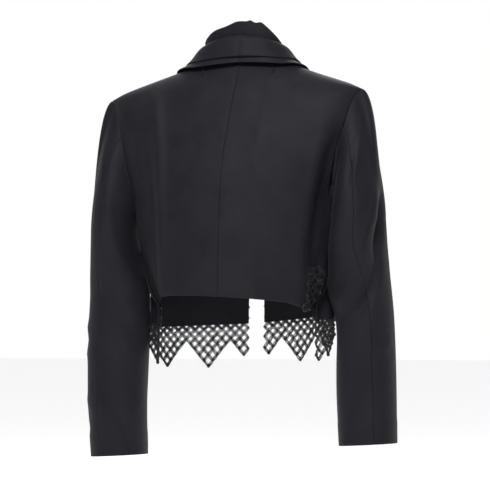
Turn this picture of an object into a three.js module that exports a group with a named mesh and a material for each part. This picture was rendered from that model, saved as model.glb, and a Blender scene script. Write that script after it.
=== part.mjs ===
// Cropped tailored jacket in its worn, hollow form: two backs, side panels, fronts that end in a
// beaded net with a pointed edge, two-piece sleeves, and a layered rolled collar with lapels.
// Millimetres, +Z up, the front faces -Y, the wearer's left is +X. The origin is the point between
// the shoulders that the wearer carries, at the level of the side of the neck.

import * as THREE from 'three';

const degrees = (value) => value * Math.PI / 180;

// Cloth and seams
const WALL = 1.6;
const NET_WALL = 2.2;
const SEAM_GAP = 0.3;
const SLEEVE_GAP = 0.6;
const BODY_GAP = 1.5;

// Body
const HEM_Z = -396;
const CHEST = 0.39;
const CHEST_RUN = 0.5;
const ROUNDNESS = 2.2;
const BACK_DOME = 1.6;
const FRONT_DOME = 1.9;
const SHOULDER_DOME = 2.6;
const SIDE = Math.PI / 2;
const FLARE_ANGLE = degrees(12);
const DOME_CENTRE = degrees(25);
const DOME_SIDE = degrees(80);

// Half width and depths of the body at each height, from the hem (0) to the shoulder ridge (1); the
// fronts flare beyond the half width as they come forward from the side seam
const BODY = [
  { height: -0.40, half: 142, flare: 16, back: 129, front: 129 },
  { height: -0.20, half: 139, flare: 25, back: 129, front: 131 },
  { height: -0.08, half: 137, flare: 26, back: 129, front: 132 },
  { height: 0.00, half: 138, flare: 22, back: 129, front: 133 },
  { height: 0.02, half: 145, flare: 16, back: 129, front: 133 },
  { height: 0.08, half: 155, flare: 8, back: 129, front: 134 },
  { height: 0.18, half: 165, flare: 2, back: 128, front: 135 },
  { height: 0.28, half: 173, flare: 0, back: 125, front: 134 },
  { height: 0.40, half: 178, flare: 0, back: 117, front: 128 },
  { height: 0.49, half: 182, flare: 0, back: 117, front: 128 },
  { height: 0.63, half: 195, flare: 0, back: 117, front: 128 },
  { height: 0.82, half: 210, flare: 0, back: 117, front: 128 },
  { height: 1.00, half: 223, flare: 0, back: 117, front: 128 },
];

// Height of the shoulder ridge across the body
const RIDGE = [
  { across: 0, z: 32 },
  { across: 40, z: 26 },
  { across: 75, z: 14 },
  { across: 108, z: 2 },
  { across: 141, z: -9.5 },
  { across: 178, z: -22 },
  { across: 200, z: -30 },
  { across: 225, z: -42 },
];

// Seams and edges of the panels
const NECK_ACROSS = 72;
const NECK_BACK_Z = 17;
const BREAK_ACROSS = 12;
const BREAK_Z = -235;
const SIDE_BACK_AT_HEM = degrees(62);
const HEM_ARCH = 0.03;
const ARCH_ROUNDNESS = 1.5;
const SIDE_HEM_DROP = { left: 0, right: 0.045 };
const SIDE_HEM_FROM = degrees(48);
const SIDE_BACK_CURVE = 1.6;
const NECK_CURVE = 0.9;
const UNDERARM_HEIGHT = 0.403;
const SIDE_BACK_ON_ARMHOLE = 0.62;
const BACK_SCOOP = degrees(19);
const FRONT_SCOOP = degrees(27);
const SCOOP_SQUARENESS = 0.6;
const CLOTH_END_HEIGHT = -0.09;

// Stance: the left shoulder hangs lower, the hem rises to the left and the neck sits to the right
const SHOULDER_TILT = -0.04;
const HEM_TILT_BACK = 0.045;
const HEM_TILT_FRONT = -0.07;
const SLEEVE_TILT = -0.05;
const TILT_TOP_Z = -150;
const TILT_DEPTH = 70;
const NECK_SHIFT = -13;
const NECK_SHIFT_REACH = 190;
const NECK_SHIFT_FROM_Z = -215;
const NECK_SHIFT_FULL_Z = 10;

// Sleeves: centre, half sizes across and deep, and turn of the section at each level
const SLEEVE_LEFT = [
  { z: -268, x: 219, y: -5, across: 39, deep: 67, turn: 0 },
  { z: -308, x: 218, y: -10, across: 43, deep: 65, turn: 0 },
  { z: -345, x: 215.5, y: -15, across: 48.5, deep: 61, turn: 0 },
  { z: -377, x: 214.5, y: -20, across: 51.5, deep: 58, turn: 0 },
  { z: -445, x: 218.4, y: -25, across: 53, deep: 57, turn: 0 },
  { z: -505, x: 221, y: -28, across: 52, deep: 56, turn: 0 },
  { z: -566, x: 223, y: -32, across: 50.5, deep: 54, turn: 0 },
  { z: -652, x: 222, y: -40, across: 48.5, deep: 52, turn: 0 },
];
const SLEEVE_RIGHT = [
  { z: -268, x: 217, y: 6, across: 40, deep: 68, turn: 10 },
  { z: -308, x: 215, y: 2, across: 44, deep: 67, turn: 12 },
  { z: -345, x: 214, y: -8, across: 49, deep: 63, turn: 8 },
  { z: -382, x: 212, y: -20, across: 54, deep: 58, turn: 0 },
  { z: -428, x: 218.8, y: -27, across: 50, deep: 57, turn: 0 },
  { z: -463, x: 221, y: -30, across: 49, deep: 57, turn: 0 },
  { z: -514, x: 221, y: -32, across: 50.5, deep: 56, turn: 0 },
  { z: -566, x: 221, y: -35, across: 51, deep: 54, turn: 0 },
  { z: -652, x: 222.4, y: -40, across: 49.5, deep: 52, turn: 0 },
];
// Fold down the left of the back, from the shoulder blade to the hem
const BACK_FOLD = { hand: 1, angle: degrees(39), wide: degrees(7), depth: 3.5, top: 0.78, full: 0.6 };

// Largest folds of the sleeves: depth and width of each, and the line it follows
const FOLDS_LEFT = [
  { zTop: -150, zEnd: -260, aroundTop: 60, aroundEnd: 110, wide: 14, depth: 2.5 },
];
const FOLDS_RIGHT = [
  { zTop: -225, zEnd: -412, aroundTop: 45, aroundEnd: 140, wide: 13, depth: 4.5 },
  { zTop: -200, zEnd: -400, aroundTop: 75, aroundEnd: 165, wide: 12, depth: -3.5 },
];
const FOLD_ENDS = 0.2;
const HEAD_PULL = { start: 80, middle: 26, under: 12 };
const ARM_PULL = { start: 225, under: 22 };
const HEAD_DOWN = degrees(22);
const MIDDLE_TURN = degrees(75);
const UNDER_TURN = degrees(60);
const PRESSED_TURN = degrees(70);
const SECTION_SQUARENESS = 0.92;
const HEAD_SETTLES = 0.6;
const BEYOND_LEAD = 30;
const PRESSED = { low: -0.35, high: 0.75 };
const UPPER_FROM = -5;
const UPPER_TO = 5;

// Steps along each edge, shared by the pieces that meet there
const STEPS = { side: 8, armholeBack: 6, armholeUnder: 3, armholeFront: 8, below: 1, neck: 3, shoulder: 7,
  head: 7, arm: 13, lapelAcross: 5, lapelAlong: 12, collar: 24, band: 18, section: 9 };

// Collar, by the turn round the neck from the centre back, in degrees: plan radius of the neck seam,
// how far out and how high the roll is, and radius and height of the upper and the lower edge
const COLLAR = [
  { turn: 0, neck: 38, rollOut: 3, rollZ: 60, edge: 54, edgeZ: 25, lower: 52, lowerZ: 14 },
  { turn: 30, neck: 42, rollOut: 3, rollZ: 58, edge: 59, edgeZ: 24, lower: 60, lowerZ: 13 },
  { turn: 60, neck: 56, rollOut: 3, rollZ: 50, edge: 77, edgeZ: 20, lower: 84, lowerZ: 9 },
  { turn: 90, neck: 72, rollOut: 4, rollZ: 36, edge: 99, edgeZ: 13, lower: 114, lowerZ: 3 },
  { turn: 112, neck: 76, rollOut: 4, rollZ: 20, edge: 110, edgeZ: -13, lower: 125, lowerZ: -36 },
  { turn: 130, neck: 80, rollOut: 4, rollZ: 0, edge: 117, edgeZ: -51, lower: 127, lowerZ: -83 },
];
const NECK_CENTRE_Y = -12;
const COLLAR_REACH = 126;
const RIGHT_EASE = 5;
const FALL_STEPS = [0, 0.3, 0.65, 1];
const EDGE_RISE = 4;
const UPPER = { seamIn: 3, seamRise: 2.4, inside: 1, rollIn: 3.5, rollDown: 4, fallOut: 6, drop: 1.3 };
const LOWER = {
  seamOut: 3, seamRise: 3, below: 9, stand: 2, rollOut: 5, fallOut: 7, fallDown: 2.5, drop: 2.2,
};
const STAND = { inside: 3.8, seamOut: 3, seamRise: 4, least: 6, lean: 0.6, out: 2 };

// Top of the band inside the neck
const BAND_REACH = 88;
const BAND = [
  { turn: -90, top: 40 },
  { turn: -75, top: 58 },
  { turn: -60, top: 72 },
  { turn: -40, top: 81 },
  { turn: -20, top: 84 },
  { turn: 0, top: 84 },
  { turn: 20, top: 82 },
  { turn: 40, top: 77 },
  { turn: 60, top: 70 },
  { turn: 75, top: 61 },
  { turn: 90, top: 50 },
];

// Lapels: reach of the outer corner and lift above the front of each layer
const GORGE_TURN = 126.5;
const LAPELS = {
  lower: { reach: 134, lift: 2.5 },
  upper: { reach: 124, lift: 4.8 },
};
const LAPEL_BELLY = 9;
const LAPEL_START = 6;
const LAPEL_TAPER = 0.07;

// Net: columns and points in half diamonds, rows as half diamonds from the cloth down
const NET = { columns: 30, point: 10, pointFrom: 4, straight: 2, open: 0.46, level: -0.2, across: 138 };
const NET_ROWS = [
  { height: 7 }, { height: 7 }, { height: 8 }, { height: 8.5 },
  { height: 9 }, { height: 9.5 }, { height: 9.5 }, { height: 9.5 },
];

const clamp = (value, low, high) => Math.min(Math.max(value, low), high);
const mix = (a, b, t) => a + (b - a) * t;
const smooth = (from, to, value) => {
  const t = clamp((value - from) / (to - from), 0, 1);
  return t * t * (3 - 2 * t);
};
const power = (value, exponent) => Math.sign(value) * Math.abs(value) ** exponent;

// Smooth curve through a table's rows, read at one value of its key column
function along(rows, key, column, value) {
  const rising = rows[rows.length - 1][key] > rows[0][key];
  let i = rows.findIndex((row) => (rising ? row[key] > value : row[key] < value)) - 1;
  if (i === -2) i = rows.length - 2;
  i = clamp(i, 0, rows.length - 2);
  const slope = (k) => {
    const a = rows[clamp(k - 1, 0, rows.length - 1)];
    const b = rows[clamp(k + 1, 0, rows.length - 1)];
    return (b[column] - a[column]) / (b[key] - a[key]);
  };
  const [p, q] = [rows[i], rows[i + 1]];
  const span = q[key] - p[key];
  const t = clamp((value - p[key]) / span, 0, 1);
  return hermite(p[column], slope(i) * span, q[column], slope(i + 1) * span, t);
}

function hermite(p, pSlope, q, qSlope, t) {
  const u = 1 - t;
  return p * (1 + 2 * t) * u * u + pSlope * t * u * u + q * t * t * (3 - 2 * t) - qSlope * t * t * u;
}

// The stance moves points of the whole garment alike, so pieces keep their seams
function stance(x, y, z) {
  const reach = Math.cos(clamp(x / NECK_SHIFT_REACH, -1, 1) * Math.PI / 2) ** 2;
  const shift = NECK_SHIFT * smooth(NECK_SHIFT_FROM_Z, NECK_SHIFT_FULL_Z, z) * reach;
  return new THREE.Vector3(x + shift, y, z + bodyTilt(y, z) * x);
}

function bodyTilt(y, z) {
  const hem = mix(HEM_TILT_FRONT, HEM_TILT_BACK, smooth(-TILT_DEPTH, TILT_DEPTH, y));
  return mix(hem, SHOULDER_TILT, smooth(HEM_Z, TILT_TOP_Z, z));
}

const ridge = (x) => along(RIDGE, 'across', 'z', Math.abs(x));

// Body surface: run goes from the hem (0) to the ridge (1), angle from the centre (0) to the side
function bodyPlain(face, run, angle) {
  let height = CHEST * run / CHEST_RUN;
  if (run > CHEST_RUN) {
    const exponent = 2 / (face === 'back' ? BACK_DOME : FRONT_DOME);
    height = CHEST + (1 - CHEST) * Math.sin((run - CHEST_RUN) / (1 - CHEST_RUN) * SIDE) ** exponent;
  }
  const flare = face === 'front' ? flareAt(height) * smooth(SIDE, SIDE - FLARE_ANGLE, angle) : 0;
  const x = (along(BODY, 'height', 'half', height) + flare) * power(Math.sin(angle), 2 / ROUNDNESS);
  const full = along(BODY, 'height', face, height) * dome(face, height, angle);
  const depth = full * power(Math.cos(angle), 2 / ROUNDNESS);
  return { x, y: face === 'back' ? depth : -depth, z: HEM_Z + height * (ridge(x) - HEM_Z) };
}

const flareAt = (height) => along(BODY, 'height', 'flare', height);

// Share of the depth left at a height, where the body closes over to the ridge
function dome(face, height, angle) {
  const rise = clamp((height - CHEST) / (1 - CHEST), 0, 1);
  const own = face === 'back' ? BACK_DOME : FRONT_DOME;
  const exponent = mix(own, SHOULDER_DOME, smooth(DOME_CENTRE, DOME_SIDE, angle));
  return (1 - rise ** exponent) ** (1 / exponent);
}

function bodyPoint(face, hand, run, angle) {
  const p = bodyPlain(face, run, angle);
  const fold = BACK_FOLD;
  let ridgeOut = 0;
  if (face === 'back' && hand === fold.hand && run < fold.top) {
    const off = (angle - fold.angle) / fold.wide;
    ridgeOut = fold.depth * Math.exp(-off * off) * smooth(fold.top, fold.full, run);
  }
  return stance(hand * (p.x + ridgeOut * Math.sin(angle)), p.y + ridgeOut * Math.cos(angle), p.z);
}

const NORMAL_STEP = 0.004;
const RUN_LIMIT = 0.985;
const ANGLE_EDGE = 0.05;

function bodyNormal(face, hand, run, angle) {
  const r = Math.min(run, RUN_LIMIT);
  const a = Math.min(angle, SIDE - ANGLE_EDGE);
  const upward = bodyPoint(face, hand, r + NORMAL_STEP, a);
  upward.sub(bodyPoint(face, hand, r - NORMAL_STEP, a));
  const outward = bodyPoint(face, hand, r, a + NORMAL_STEP);
  outward.sub(bodyPoint(face, hand, r, a - NORMAL_STEP));
  const normal = outward.cross(upward).normalize();
  if (normal.y * (face === 'back' ? 1 : -1) < 0) normal.negate();
  const fade = clamp((1 - run) / (1 - RUN_LIMIT), 0, 1) * clamp((SIDE - angle) / ANGLE_EDGE, 0, 1);
  normal.y *= fade;
  return normal.normalize();
}

const runOfHeight = (face, height) => {
  if (height <= CHEST) return height / CHEST * CHEST_RUN;
  const exponent = 2 / (face === 'back' ? BACK_DOME : FRONT_DOME);
  const lift = Math.asin(((height - CHEST) / (1 - CHEST)) ** (1 / exponent));
  return CHEST_RUN + (1 - CHEST_RUN) * lift / SIDE;
};

// Run and angle of the body point at a place across and a height
function place(face, x, z) {
  const height = (z - HEM_Z) / (ridge(x) - HEM_Z);
  const fraction = clamp(x / along(BODY, 'height', 'half', height), 0, 1);
  return { run: runOfHeight(face, height), angle: Math.asin(fraction ** (ROUNDNESS / 2)) };
}

const HALVINGS = 40;

// Height of the body under a point of the plan, near the neck and shoulders
function bodyHeightAt(x, y) {
  const face = y >= 0 ? 'back' : 'front';
  let low = 0;
  let high = 1;
  for (let i = 0; i < HALVINGS; i += 1) {
    const run = (low + high) / 2;
    const half = bodyPlain(face, run, SIDE).x;
    const fraction = clamp(Math.abs(x) / half, 0, 1);
    const angle = Math.asin(fraction ** (ROUNDNESS / 2));
    if (Math.abs(bodyPlain(face, run, angle).y) > Math.abs(y)) low = run;
    else high = run;
  }
  const half = bodyPlain(face, low, SIDE).x;
  const angle = Math.asin(clamp(Math.abs(x) / half, 0, 1) ** (ROUNDNESS / 2));
  return bodyPlain(face, low, angle).z;
}

// Armhole on the body, from the shoulder (0) to the underarm (1)
const UNDERARM_RUN = runOfHeight('back', UNDERARM_HEIGHT);
function armhole(face, t) {
  const scoop = face === 'back' ? BACK_SCOOP : FRONT_SCOOP;
  const angle = SIDE - scoop * Math.max(Math.sin(Math.PI * t), 0) ** SCOOP_SQUARENESS;
  return { run: mix(1, UNDERARM_RUN, t), angle };
}

// Boundaries of a panel as lists of run and angle, blended over its inside
function patch(bottom, right, top, left, columns, rows) {
  const grid = [];
  for (let i = 0; i <= rows; i += 1) {
    const v = i / rows;
    const line = [];
    for (let j = 0; j <= columns; j += 1) {
      const u = j / columns;
      const point = {};
      for (const key of ['run', 'angle']) {
        const [b, r, t, l] = [bottom(u), right(v), top(u), left(v)].map((p) => p[key]);
        const corners = mix(mix(bottom(0)[key], bottom(1)[key], u), mix(top(0)[key], top(1)[key], u), v);
        point[key] = mix(b, t, v) + mix(l, r, u) - corners;
      }
      line.push(point);
    }
    grid.push(line);
  }
  return grid;
}

// Joins stretches end to end, each with its share of the steps, so that neighbours share points
function chain(...stretches) {
  const total = stretches.reduce((sum, [, steps]) => sum + steps, 0);
  return (t) => {
    let from = 0;
    for (const [curve, steps] of stretches) {
      if (t * total <= from + steps + 1e-9) return curve(clamp((t * total - from) / steps, 0, 1));
      from += steps;
    }
    return stretches[stretches.length - 1][0](1);
  };
}
const straight = (a, b) => (t) => ({ run: mix(a.run, b.run, t), angle: mix(a.angle, b.angle, t) });

// One closed body between an outer and an inner sheet of points
function closedWall(outer, inner) {
  const rows = outer.length;
  const columns = outer[0].length;
  const points = [...outer.flat(), ...inner.flat()];
  const at = (layer, i, j) => layer * rows * columns + i * columns + j;
  const faces = [];
  const quad = (a, b, c, d) => faces.push([a, b, d], [b, c, d]);
  for (let i = 0; i < rows - 1; i += 1) {
    for (let j = 0; j < columns - 1; j += 1) {
      quad(at(0, i, j), at(0, i, j + 1), at(0, i + 1, j + 1), at(0, i + 1, j));
      quad(at(1, i, j), at(1, i + 1, j), at(1, i + 1, j + 1), at(1, i, j + 1));
    }
  }
  for (let j = 0; j < columns - 1; j += 1) {
    quad(at(0, 0, j), at(1, 0, j), at(1, 0, j + 1), at(0, 0, j + 1));
    quad(at(0, rows - 1, j), at(0, rows - 1, j + 1), at(1, rows - 1, j + 1), at(1, rows - 1, j));
  }
  for (let i = 0; i < rows - 1; i += 1) {
    quad(at(0, i, 0), at(0, i + 1, 0), at(1, i + 1, 0), at(1, i, 0));
    quad(at(0, i, columns - 1), at(1, i, columns - 1), at(1, i + 1, columns - 1), at(0, i + 1, columns - 1));
  }
  return solid(points, faces);
}

// Faces are turned to point out
function solid(points, faces) {
  let volume = 0;
  for (const [a, b, c] of faces) {
    volume += points[a].dot(new THREE.Vector3().crossVectors(points[b], points[c]));
  }
  const geometry = new THREE.BufferGeometry();
  geometry.setAttribute('position', new THREE.Float32BufferAttribute(points.flatMap((p) => p.toArray()), 3));
  geometry.setIndex(faces.flatMap(([a, b, c]) => (volume > 0 ? [a, b, c] : [a, c, b])));
  geometry.computeVertexNormals();
  return geometry;
}

// Moves the edge points of a sheet inward by half a seam
function trimmed(grid, sides) {
  const rows = grid.length;
  const columns = grid[0].length;
  const result = grid.map((line) => line.map((p) => p.clone()));
  const pull = (i, j, k, l) => {
    const step = grid[k][l].clone().sub(grid[i][j]);
    result[i][j].add(step.setLength(SEAM_GAP / 2));
  };
  for (let j = 0; j < columns; j += 1) {
    if (sides.bottom) pull(0, j, 1, j);
    if (sides.top) pull(rows - 1, j, rows - 2, j);
  }
  for (let i = 0; i < rows; i += 1) {
    if (sides.left) pull(i, 0, i, 1);
    if (sides.right) pull(i, columns - 1, i, columns - 2);
  }
  return result;
}

// A panel's wall between two lifts above the body surface
function panelWall(face, hand, grid, sides, lift = 0, wall = WALL) {
  const sheet = (height) => grid.map((line) => line.map((p) => {
    const above = typeof height === 'function' ? height(p) : height;
    return bodyPoint(face, hand, p.run, p.angle)
      .addScaledVector(bodyNormal(face, hand, p.run, p.angle), above);
  }));
  return closedWall(trimmed(sheet(lift), sides), trimmed(sheet(lift - wall), sides));
}

// Materials
const CLOTH = { color: 0x212025, roughness: 0.82, metalness: 0 };
const BEADS = { color: 0x121214, roughness: 0.28, metalness: 0.1 };
const cloth = () => new THREE.MeshStandardMaterial(CLOTH);
const beads = () => new THREE.MeshStandardMaterial(BEADS);

const jacket = new THREE.Group();
function add(name, geometry, material) {
  const mesh = new THREE.Mesh(geometry, material);
  mesh.name = name;
  jacket.add(mesh);
}

// Body panels
const SEAMED = { bottom: false, top: true, left: true, right: true };
const BELOW_RIDGE = 0.01;
const neckEnd = place('back', NECK_ACROSS, ridge(NECK_ACROSS) - BELOW_RIDGE);
const shoulderNeck = { run: 1, angle: neckEnd.angle };
const shoulderTip = { run: 1, angle: SIDE };
const neckBack = place('back', 0, NECK_BACK_Z);
const neckline = (t) => ({
  run: mix(neckBack.run, 1, 1 - Math.cos(t * SIDE)),
  angle: shoulderNeck.angle * Math.sin(t * SIDE),
});
const sideBackTop = armhole('back', SIDE_BACK_ON_ARMHOLE);
const sideHem = (hand) => -SIDE_HEM_DROP[hand > 0 ? 'left' : 'right'];
const hemRun = (hand, angle) => HEM_ARCH * Math.max(Math.cos(angle), 0) ** ARCH_ROUNDNESS
  + sideHem(hand) * smooth(SIDE_HEM_FROM, SIDE, angle);
const backHem = (hand, from, to) => (t) => {
  const angle = mix(from, to, t);
  return { run: hemRun(hand, angle), angle };
};
const sideBack = (hand) => (t) => ({
  run: mix(hemRun(hand, SIDE_BACK_AT_HEM), sideBackTop.run, t),
  angle: mix(SIDE_BACK_AT_HEM, sideBackTop.angle, t ** SIDE_BACK_CURVE),
});

function backPanel(hand) {
  const upperArmhole = (t) => armhole('back', mix(SIDE_BACK_ON_ARMHOLE, 0, t));
  const grid = patch(
    backHem(hand, 0, SIDE_BACK_AT_HEM),
    chain([sideBack(hand), STEPS.side], [upperArmhole, STEPS.armholeBack]),
    chain([neckline, STEPS.neck], [straight(shoulderNeck, shoulderTip), STEPS.shoulder]),
    straight({ run: HEM_ARCH, angle: 0 }, neckBack),
    STEPS.neck + STEPS.shoulder, STEPS.side + STEPS.armholeBack);
  return panelWall('back', hand, grid, SEAMED);
}

function sidePanel(hand) {
  const grid = patch(
    backHem(hand, SIDE_BACK_AT_HEM, SIDE),
    straight({ run: sideHem(hand), angle: SIDE }, { run: UNDERARM_RUN, angle: SIDE }),
    (t) => armhole('back', mix(SIDE_BACK_ON_ARMHOLE, 1, t)),
    sideBack(hand),
    STEPS.armholeUnder, STEPS.side);
  return panelWall('back', hand, grid, SEAMED);
}

const clothEnd = runOfHeight('front', CLOTH_END_HEIGHT);
const breakPoint = place('front', BREAK_ACROSS, BREAK_Z);
const centreFront = (t) => {
  const run = mix(clothEnd, breakPoint.run, t);
  const half = bodyPlain('front', run, SIDE).x;
  return { run, angle: Math.asin((BREAK_ACROSS / half) ** (ROUNDNESS / 2)) };
};
const frontNeck = (t) => {
  if (t >= 1) return shoulderNeck;
  const x = mix(BREAK_ACROSS, NECK_ACROSS, t ** NECK_CURVE);
  const z = mix(BREAK_Z, ridge(NECK_ACROSS), t);
  return place('front', x, z);
};

function frontPanel(hand) {
  const rows = STEPS.below + STEPS.side + STEPS.armholeFront;
  const lapelRows = Math.round(rows / 2);
  const sideEnd = { run: sideHem(hand), angle: SIDE };
  const grid = patch(
    straight(centreFront(0), { run: clothEnd, angle: SIDE }),
    chain([straight({ run: clothEnd, angle: SIDE }, sideEnd), STEPS.below],
      [straight(sideEnd, { run: UNDERARM_RUN, angle: SIDE }), STEPS.side],
      [(t) => armhole('front', 1 - t), STEPS.armholeFront]),
    straight(shoulderNeck, shoulderTip),
    chain([centreFront, rows - lapelRows], [frontNeck, lapelRows]),
    STEPS.shoulder, rows);
  return panelWall('front', hand, grid, { bottom: true, top: true, left: false, right: true });
}

// Points and frames round an armhole, from the shoulder over the back to the underarm and up the front
function armholeRing(hand) {
  const stops = [];
  const list = (face, from, to, steps) => {
    for (let k = 0; k < steps; k += 1) stops.push({ face, ...armhole(face, mix(from, to, k / steps)) });
  };
  list('back', 0, SIDE_BACK_ON_ARMHOLE, STEPS.armholeBack);
  list('back', SIDE_BACK_ON_ARMHOLE, 1, STEPS.armholeUnder);
  list('front', 1, 0, STEPS.armholeFront);
  const points = stops.map((s) => bodyPoint(s.face, hand, s.run, s.angle));
  const centre = points.reduce((sum, p) => sum.add(p), new THREE.Vector3()).divideScalar(points.length);
  const under = STEPS.armholeBack + STEPS.armholeUnder;
  const lengths = [0];
  points.forEach((p, k) => lengths.push(lengths[k] + p.distanceTo(points[(k + 1) % points.length])));
  return stops.map((s, k) => {
    const total = lengths[points.length];
    const half = k <= under ? lengths[k] / lengths[under] / 2
      : 0.5 + (lengths[k] - lengths[under]) / (total - lengths[under]) / 2;
    const around = half * 2 * Math.PI;
    const next = points[(k + 1) % points.length];
    const tangent = next.clone().sub(points[(k + points.length - 1) % points.length]).normalize();
    let normal = bodyNormal(s.face, hand, s.run, s.angle);
    if (k === 0) normal = new THREE.Vector3(hand * Math.sin(HEAD_DOWN), 0, Math.cos(HEAD_DOWN));
    normal.addScaledVector(tangent, -normal.dot(tangent)).normalize();
    const beyond = tangent.clone().cross(normal).normalize();
    const outside = centre.clone().sub(points[k]).add(new THREE.Vector3(hand * BEYOND_LEAD, 0, 0));
    if (beyond.dot(outside) < 0) beyond.negate();
    return { point: points[k], around, normal, beyond };
  });
}

// The body presses the sleeve outward where they meet
function clearOfBody(p, hand, clearance) {
  const z = p.z - bodyTilt(p.y, p.z) * p.x;
  const height = (z - HEM_Z) / (ridge(p.x) - HEM_Z);
  if (height < PRESSED.low || height > PRESSED.high) return p;
  const face = p.y >= 0 ? 'back' : 'front';
  const depth = along(BODY, 'height', face, height) * dome(face, height, SIDE);
  const fraction = clamp(Math.abs(p.y) / depth, 0, 1);
  const angle = Math.acos(fraction ** (ROUNDNESS / 2));
  const flare = face === 'front' ? flareAt(height) * smooth(SIDE, SIDE - FLARE_ANGLE, angle) : 0;
  const half = (along(BODY, 'height', 'half', height) + flare) * power(Math.sin(angle), 2 / ROUNDNESS);
  p.x = hand * Math.max(hand * p.x, half + clearance);
  return p;
}

// Sleeve section at a level; around runs from the outer side over the back to the inner side
function sleeveSection(rows, hand, z, around) {
  const [x, y, across, deep, turn] = ['x', 'y', 'across', 'deep', 'turn']
    .map((column) => along(rows, 'z', column, z));
  const u = across * power(Math.cos(around), SECTION_SQUARENESS);
  const v = deep * power(Math.sin(around), SECTION_SQUARENESS);
  const angle = degrees(turn);
  const px = x + u * Math.cos(angle) - v * Math.sin(angle);
  const py = y + u * Math.sin(angle) + v * Math.cos(angle);
  return new THREE.Vector3(hand * px, py, z + SLEEVE_TILT * hand * px);
}

// The largest folds of the sleeves, as long soft ridges: depth out of the cloth along a slanting line
function sleeveFold(folds, z, around) {
  let depth = 0;
  for (const fold of folds) {
    const t = (z - fold.zTop) / (fold.zEnd - fold.zTop);
    if (t > -FOLD_ENDS && t < 1 + FOLD_ENDS) {
      const line = mix(degrees(fold.aroundTop), degrees(fold.aroundEnd), t);
      const off = (around - line) / degrees(fold.wide);
      const ends = smooth(-FOLD_ENDS, FOLD_ENDS, t) * (1 - smooth(1 - FOLD_ENDS, 1 + FOLD_ENDS, t));
      depth += fold.depth * Math.exp(-off * off) * ends;
    }
  }
  return depth;
}

// Grid of the sleeve's outer and inner points: the head springs from the armhole and turns down
function sleeveSheets(rows, folds, hand, from, to) {
  const ring = armholeRing(hand);
  const biceps = rows[0].z;
  const cuff = rows[rows.length - 1].z;
  const columns = [];
  for (let k = from; k <= to; k += 1) columns.push(ring[(k + ring.length) % ring.length]);
  const middle = (z) => new THREE.Vector3(hand * along(rows, 'z', 'x', z), along(rows, 'z', 'y', z), z);
  const outer = [];
  const inner = [];
  const levels = STEPS.head + STEPS.arm;
  for (let i = 0; i <= levels; i += 1) {
    const line = [];
    const lining = [];
    for (const { point, around, normal, beyond } of columns) {
      const turn = Math.min(around, 2 * Math.PI - around);
      const spring = beyond.clone().multiplyScalar(Math.cos(turn)).addScaledVector(normal, Math.sin(turn));
      const depthWay = normal.clone().multiplyScalar(-Math.cos(turn)).addScaledVector(beyond, Math.sin(turn));
      const start = point.clone().addScaledVector(beyond, SLEEVE_GAP * Math.cos(turn / 2))
        .addScaledVector(normal, SLEEVE_GAP * Math.sin(turn / 2));
      const under = smooth(UNDER_TURN, Math.PI, turn);
      if (i <= STEPS.head) {
        const t = i / STEPS.head;
        const end = sleeveSection(rows, hand, biceps, around);
        const shoulder = mix(HEAD_PULL.start, HEAD_PULL.middle, smooth(0, MIDDLE_TURN, turn));
        const pullStart = mix(shoulder, HEAD_PULL.under, under);
        const pullEnd = mix(ARM_PULL.start, ARM_PULL.under, under);
        const p = new THREE.Vector3(
          ...['x', 'y', 'z'].map((axis) => hermite(
            start[axis], spring[axis] * pullStart, end[axis], axis === 'z' ? -pullEnd : 0, t)));
        const inward = middle(biceps).sub(end);
        inward.z = 0;
        inward.normalize();
        const way = depthWay.clone().lerp(inward, smooth(0, HEAD_SETTLES, t)).normalize();
        p.addScaledVector(way, -sleeveFold(folds, p.z, around) * t);
        if (i > 0 && turn > PRESSED_TURN) clearOfBody(p, hand, mix(SLEEVE_GAP, BODY_GAP, t));
        line.push(p);
        lining.push(p.clone().addScaledVector(way, WALL));
      } else {
        const z = mix(biceps, cuff, (i - STEPS.head) / STEPS.arm);
        const p = sleeveSection(rows, hand, z, around);
        const inward = middle(z).sub(p);
        inward.z = 0;
        inward.normalize();
        p.addScaledVector(inward, -sleeveFold(folds, z, around));
        clearOfBody(p, hand, BODY_GAP);
        line.push(p);
        lining.push(p.clone().addScaledVector(inward, WALL));
      }
    }
    outer.push(line);
    inner.push(lining);
  }
  return { outer, inner };
}

function sleevePiece(rows, folds, hand, from, to) {
  const { outer, inner } = sleeveSheets(rows, folds, hand, from, to);
  const seams = { left: true, right: true };
  return closedWall(trimmed(outer, seams), trimmed(inner, seams));
}

// Collar layers as a section swept round the neck
function planPoint(turn, radius) {
  const a = degrees(turn);
  const eased = radius + (turn < 0 ? RIGHT_EASE * Math.sin(a) ** 2 : 0);
  return { x: eased * Math.sin(a), y: NECK_CENTRE_Y + eased * Math.cos(a) };
}

const signed = (turn, column) => along(COLLAR, 'turn', column, Math.abs(turn));

function collarPoint(turn, radius, z) {
  const { x, y } = planPoint(turn, radius);
  return stance(x, y, z);
}

// Section of a layer: its corners as plan radius and height, smoothed and thickened
function sweptCollar(section, limit, steps) {
  const outer = [];
  const inner = [];
  for (let k = 0; k <= steps; k += 1) {
    const turn = mix(-limit, limit, k / steps);
    const corners = section(turn).map(([r, z]) => new THREE.Vector2(r, z));
    const curve = new THREE.SplineCurve(corners);
    const line = [];
    const lining = [];
    for (let m = 0; m <= STEPS.section; m += 1) {
      const p = curve.getPoint(m / STEPS.section);
      const tangent = curve.getTangent(m / STEPS.section);
      line.push(collarPoint(turn, p.x, p.y));
      lining.push(collarPoint(turn, p.x - tangent.y * WALL, p.y + tangent.x * WALL));
    }
    outer.push(line);
    inner.push(lining);
  }
  return closedWall(outer, inner);
}

const neckSeamZ = (turn, radius) => {
  const { x, y } = planPoint(turn, radius);
  return bodyHeightAt(x, y);
};

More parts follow.
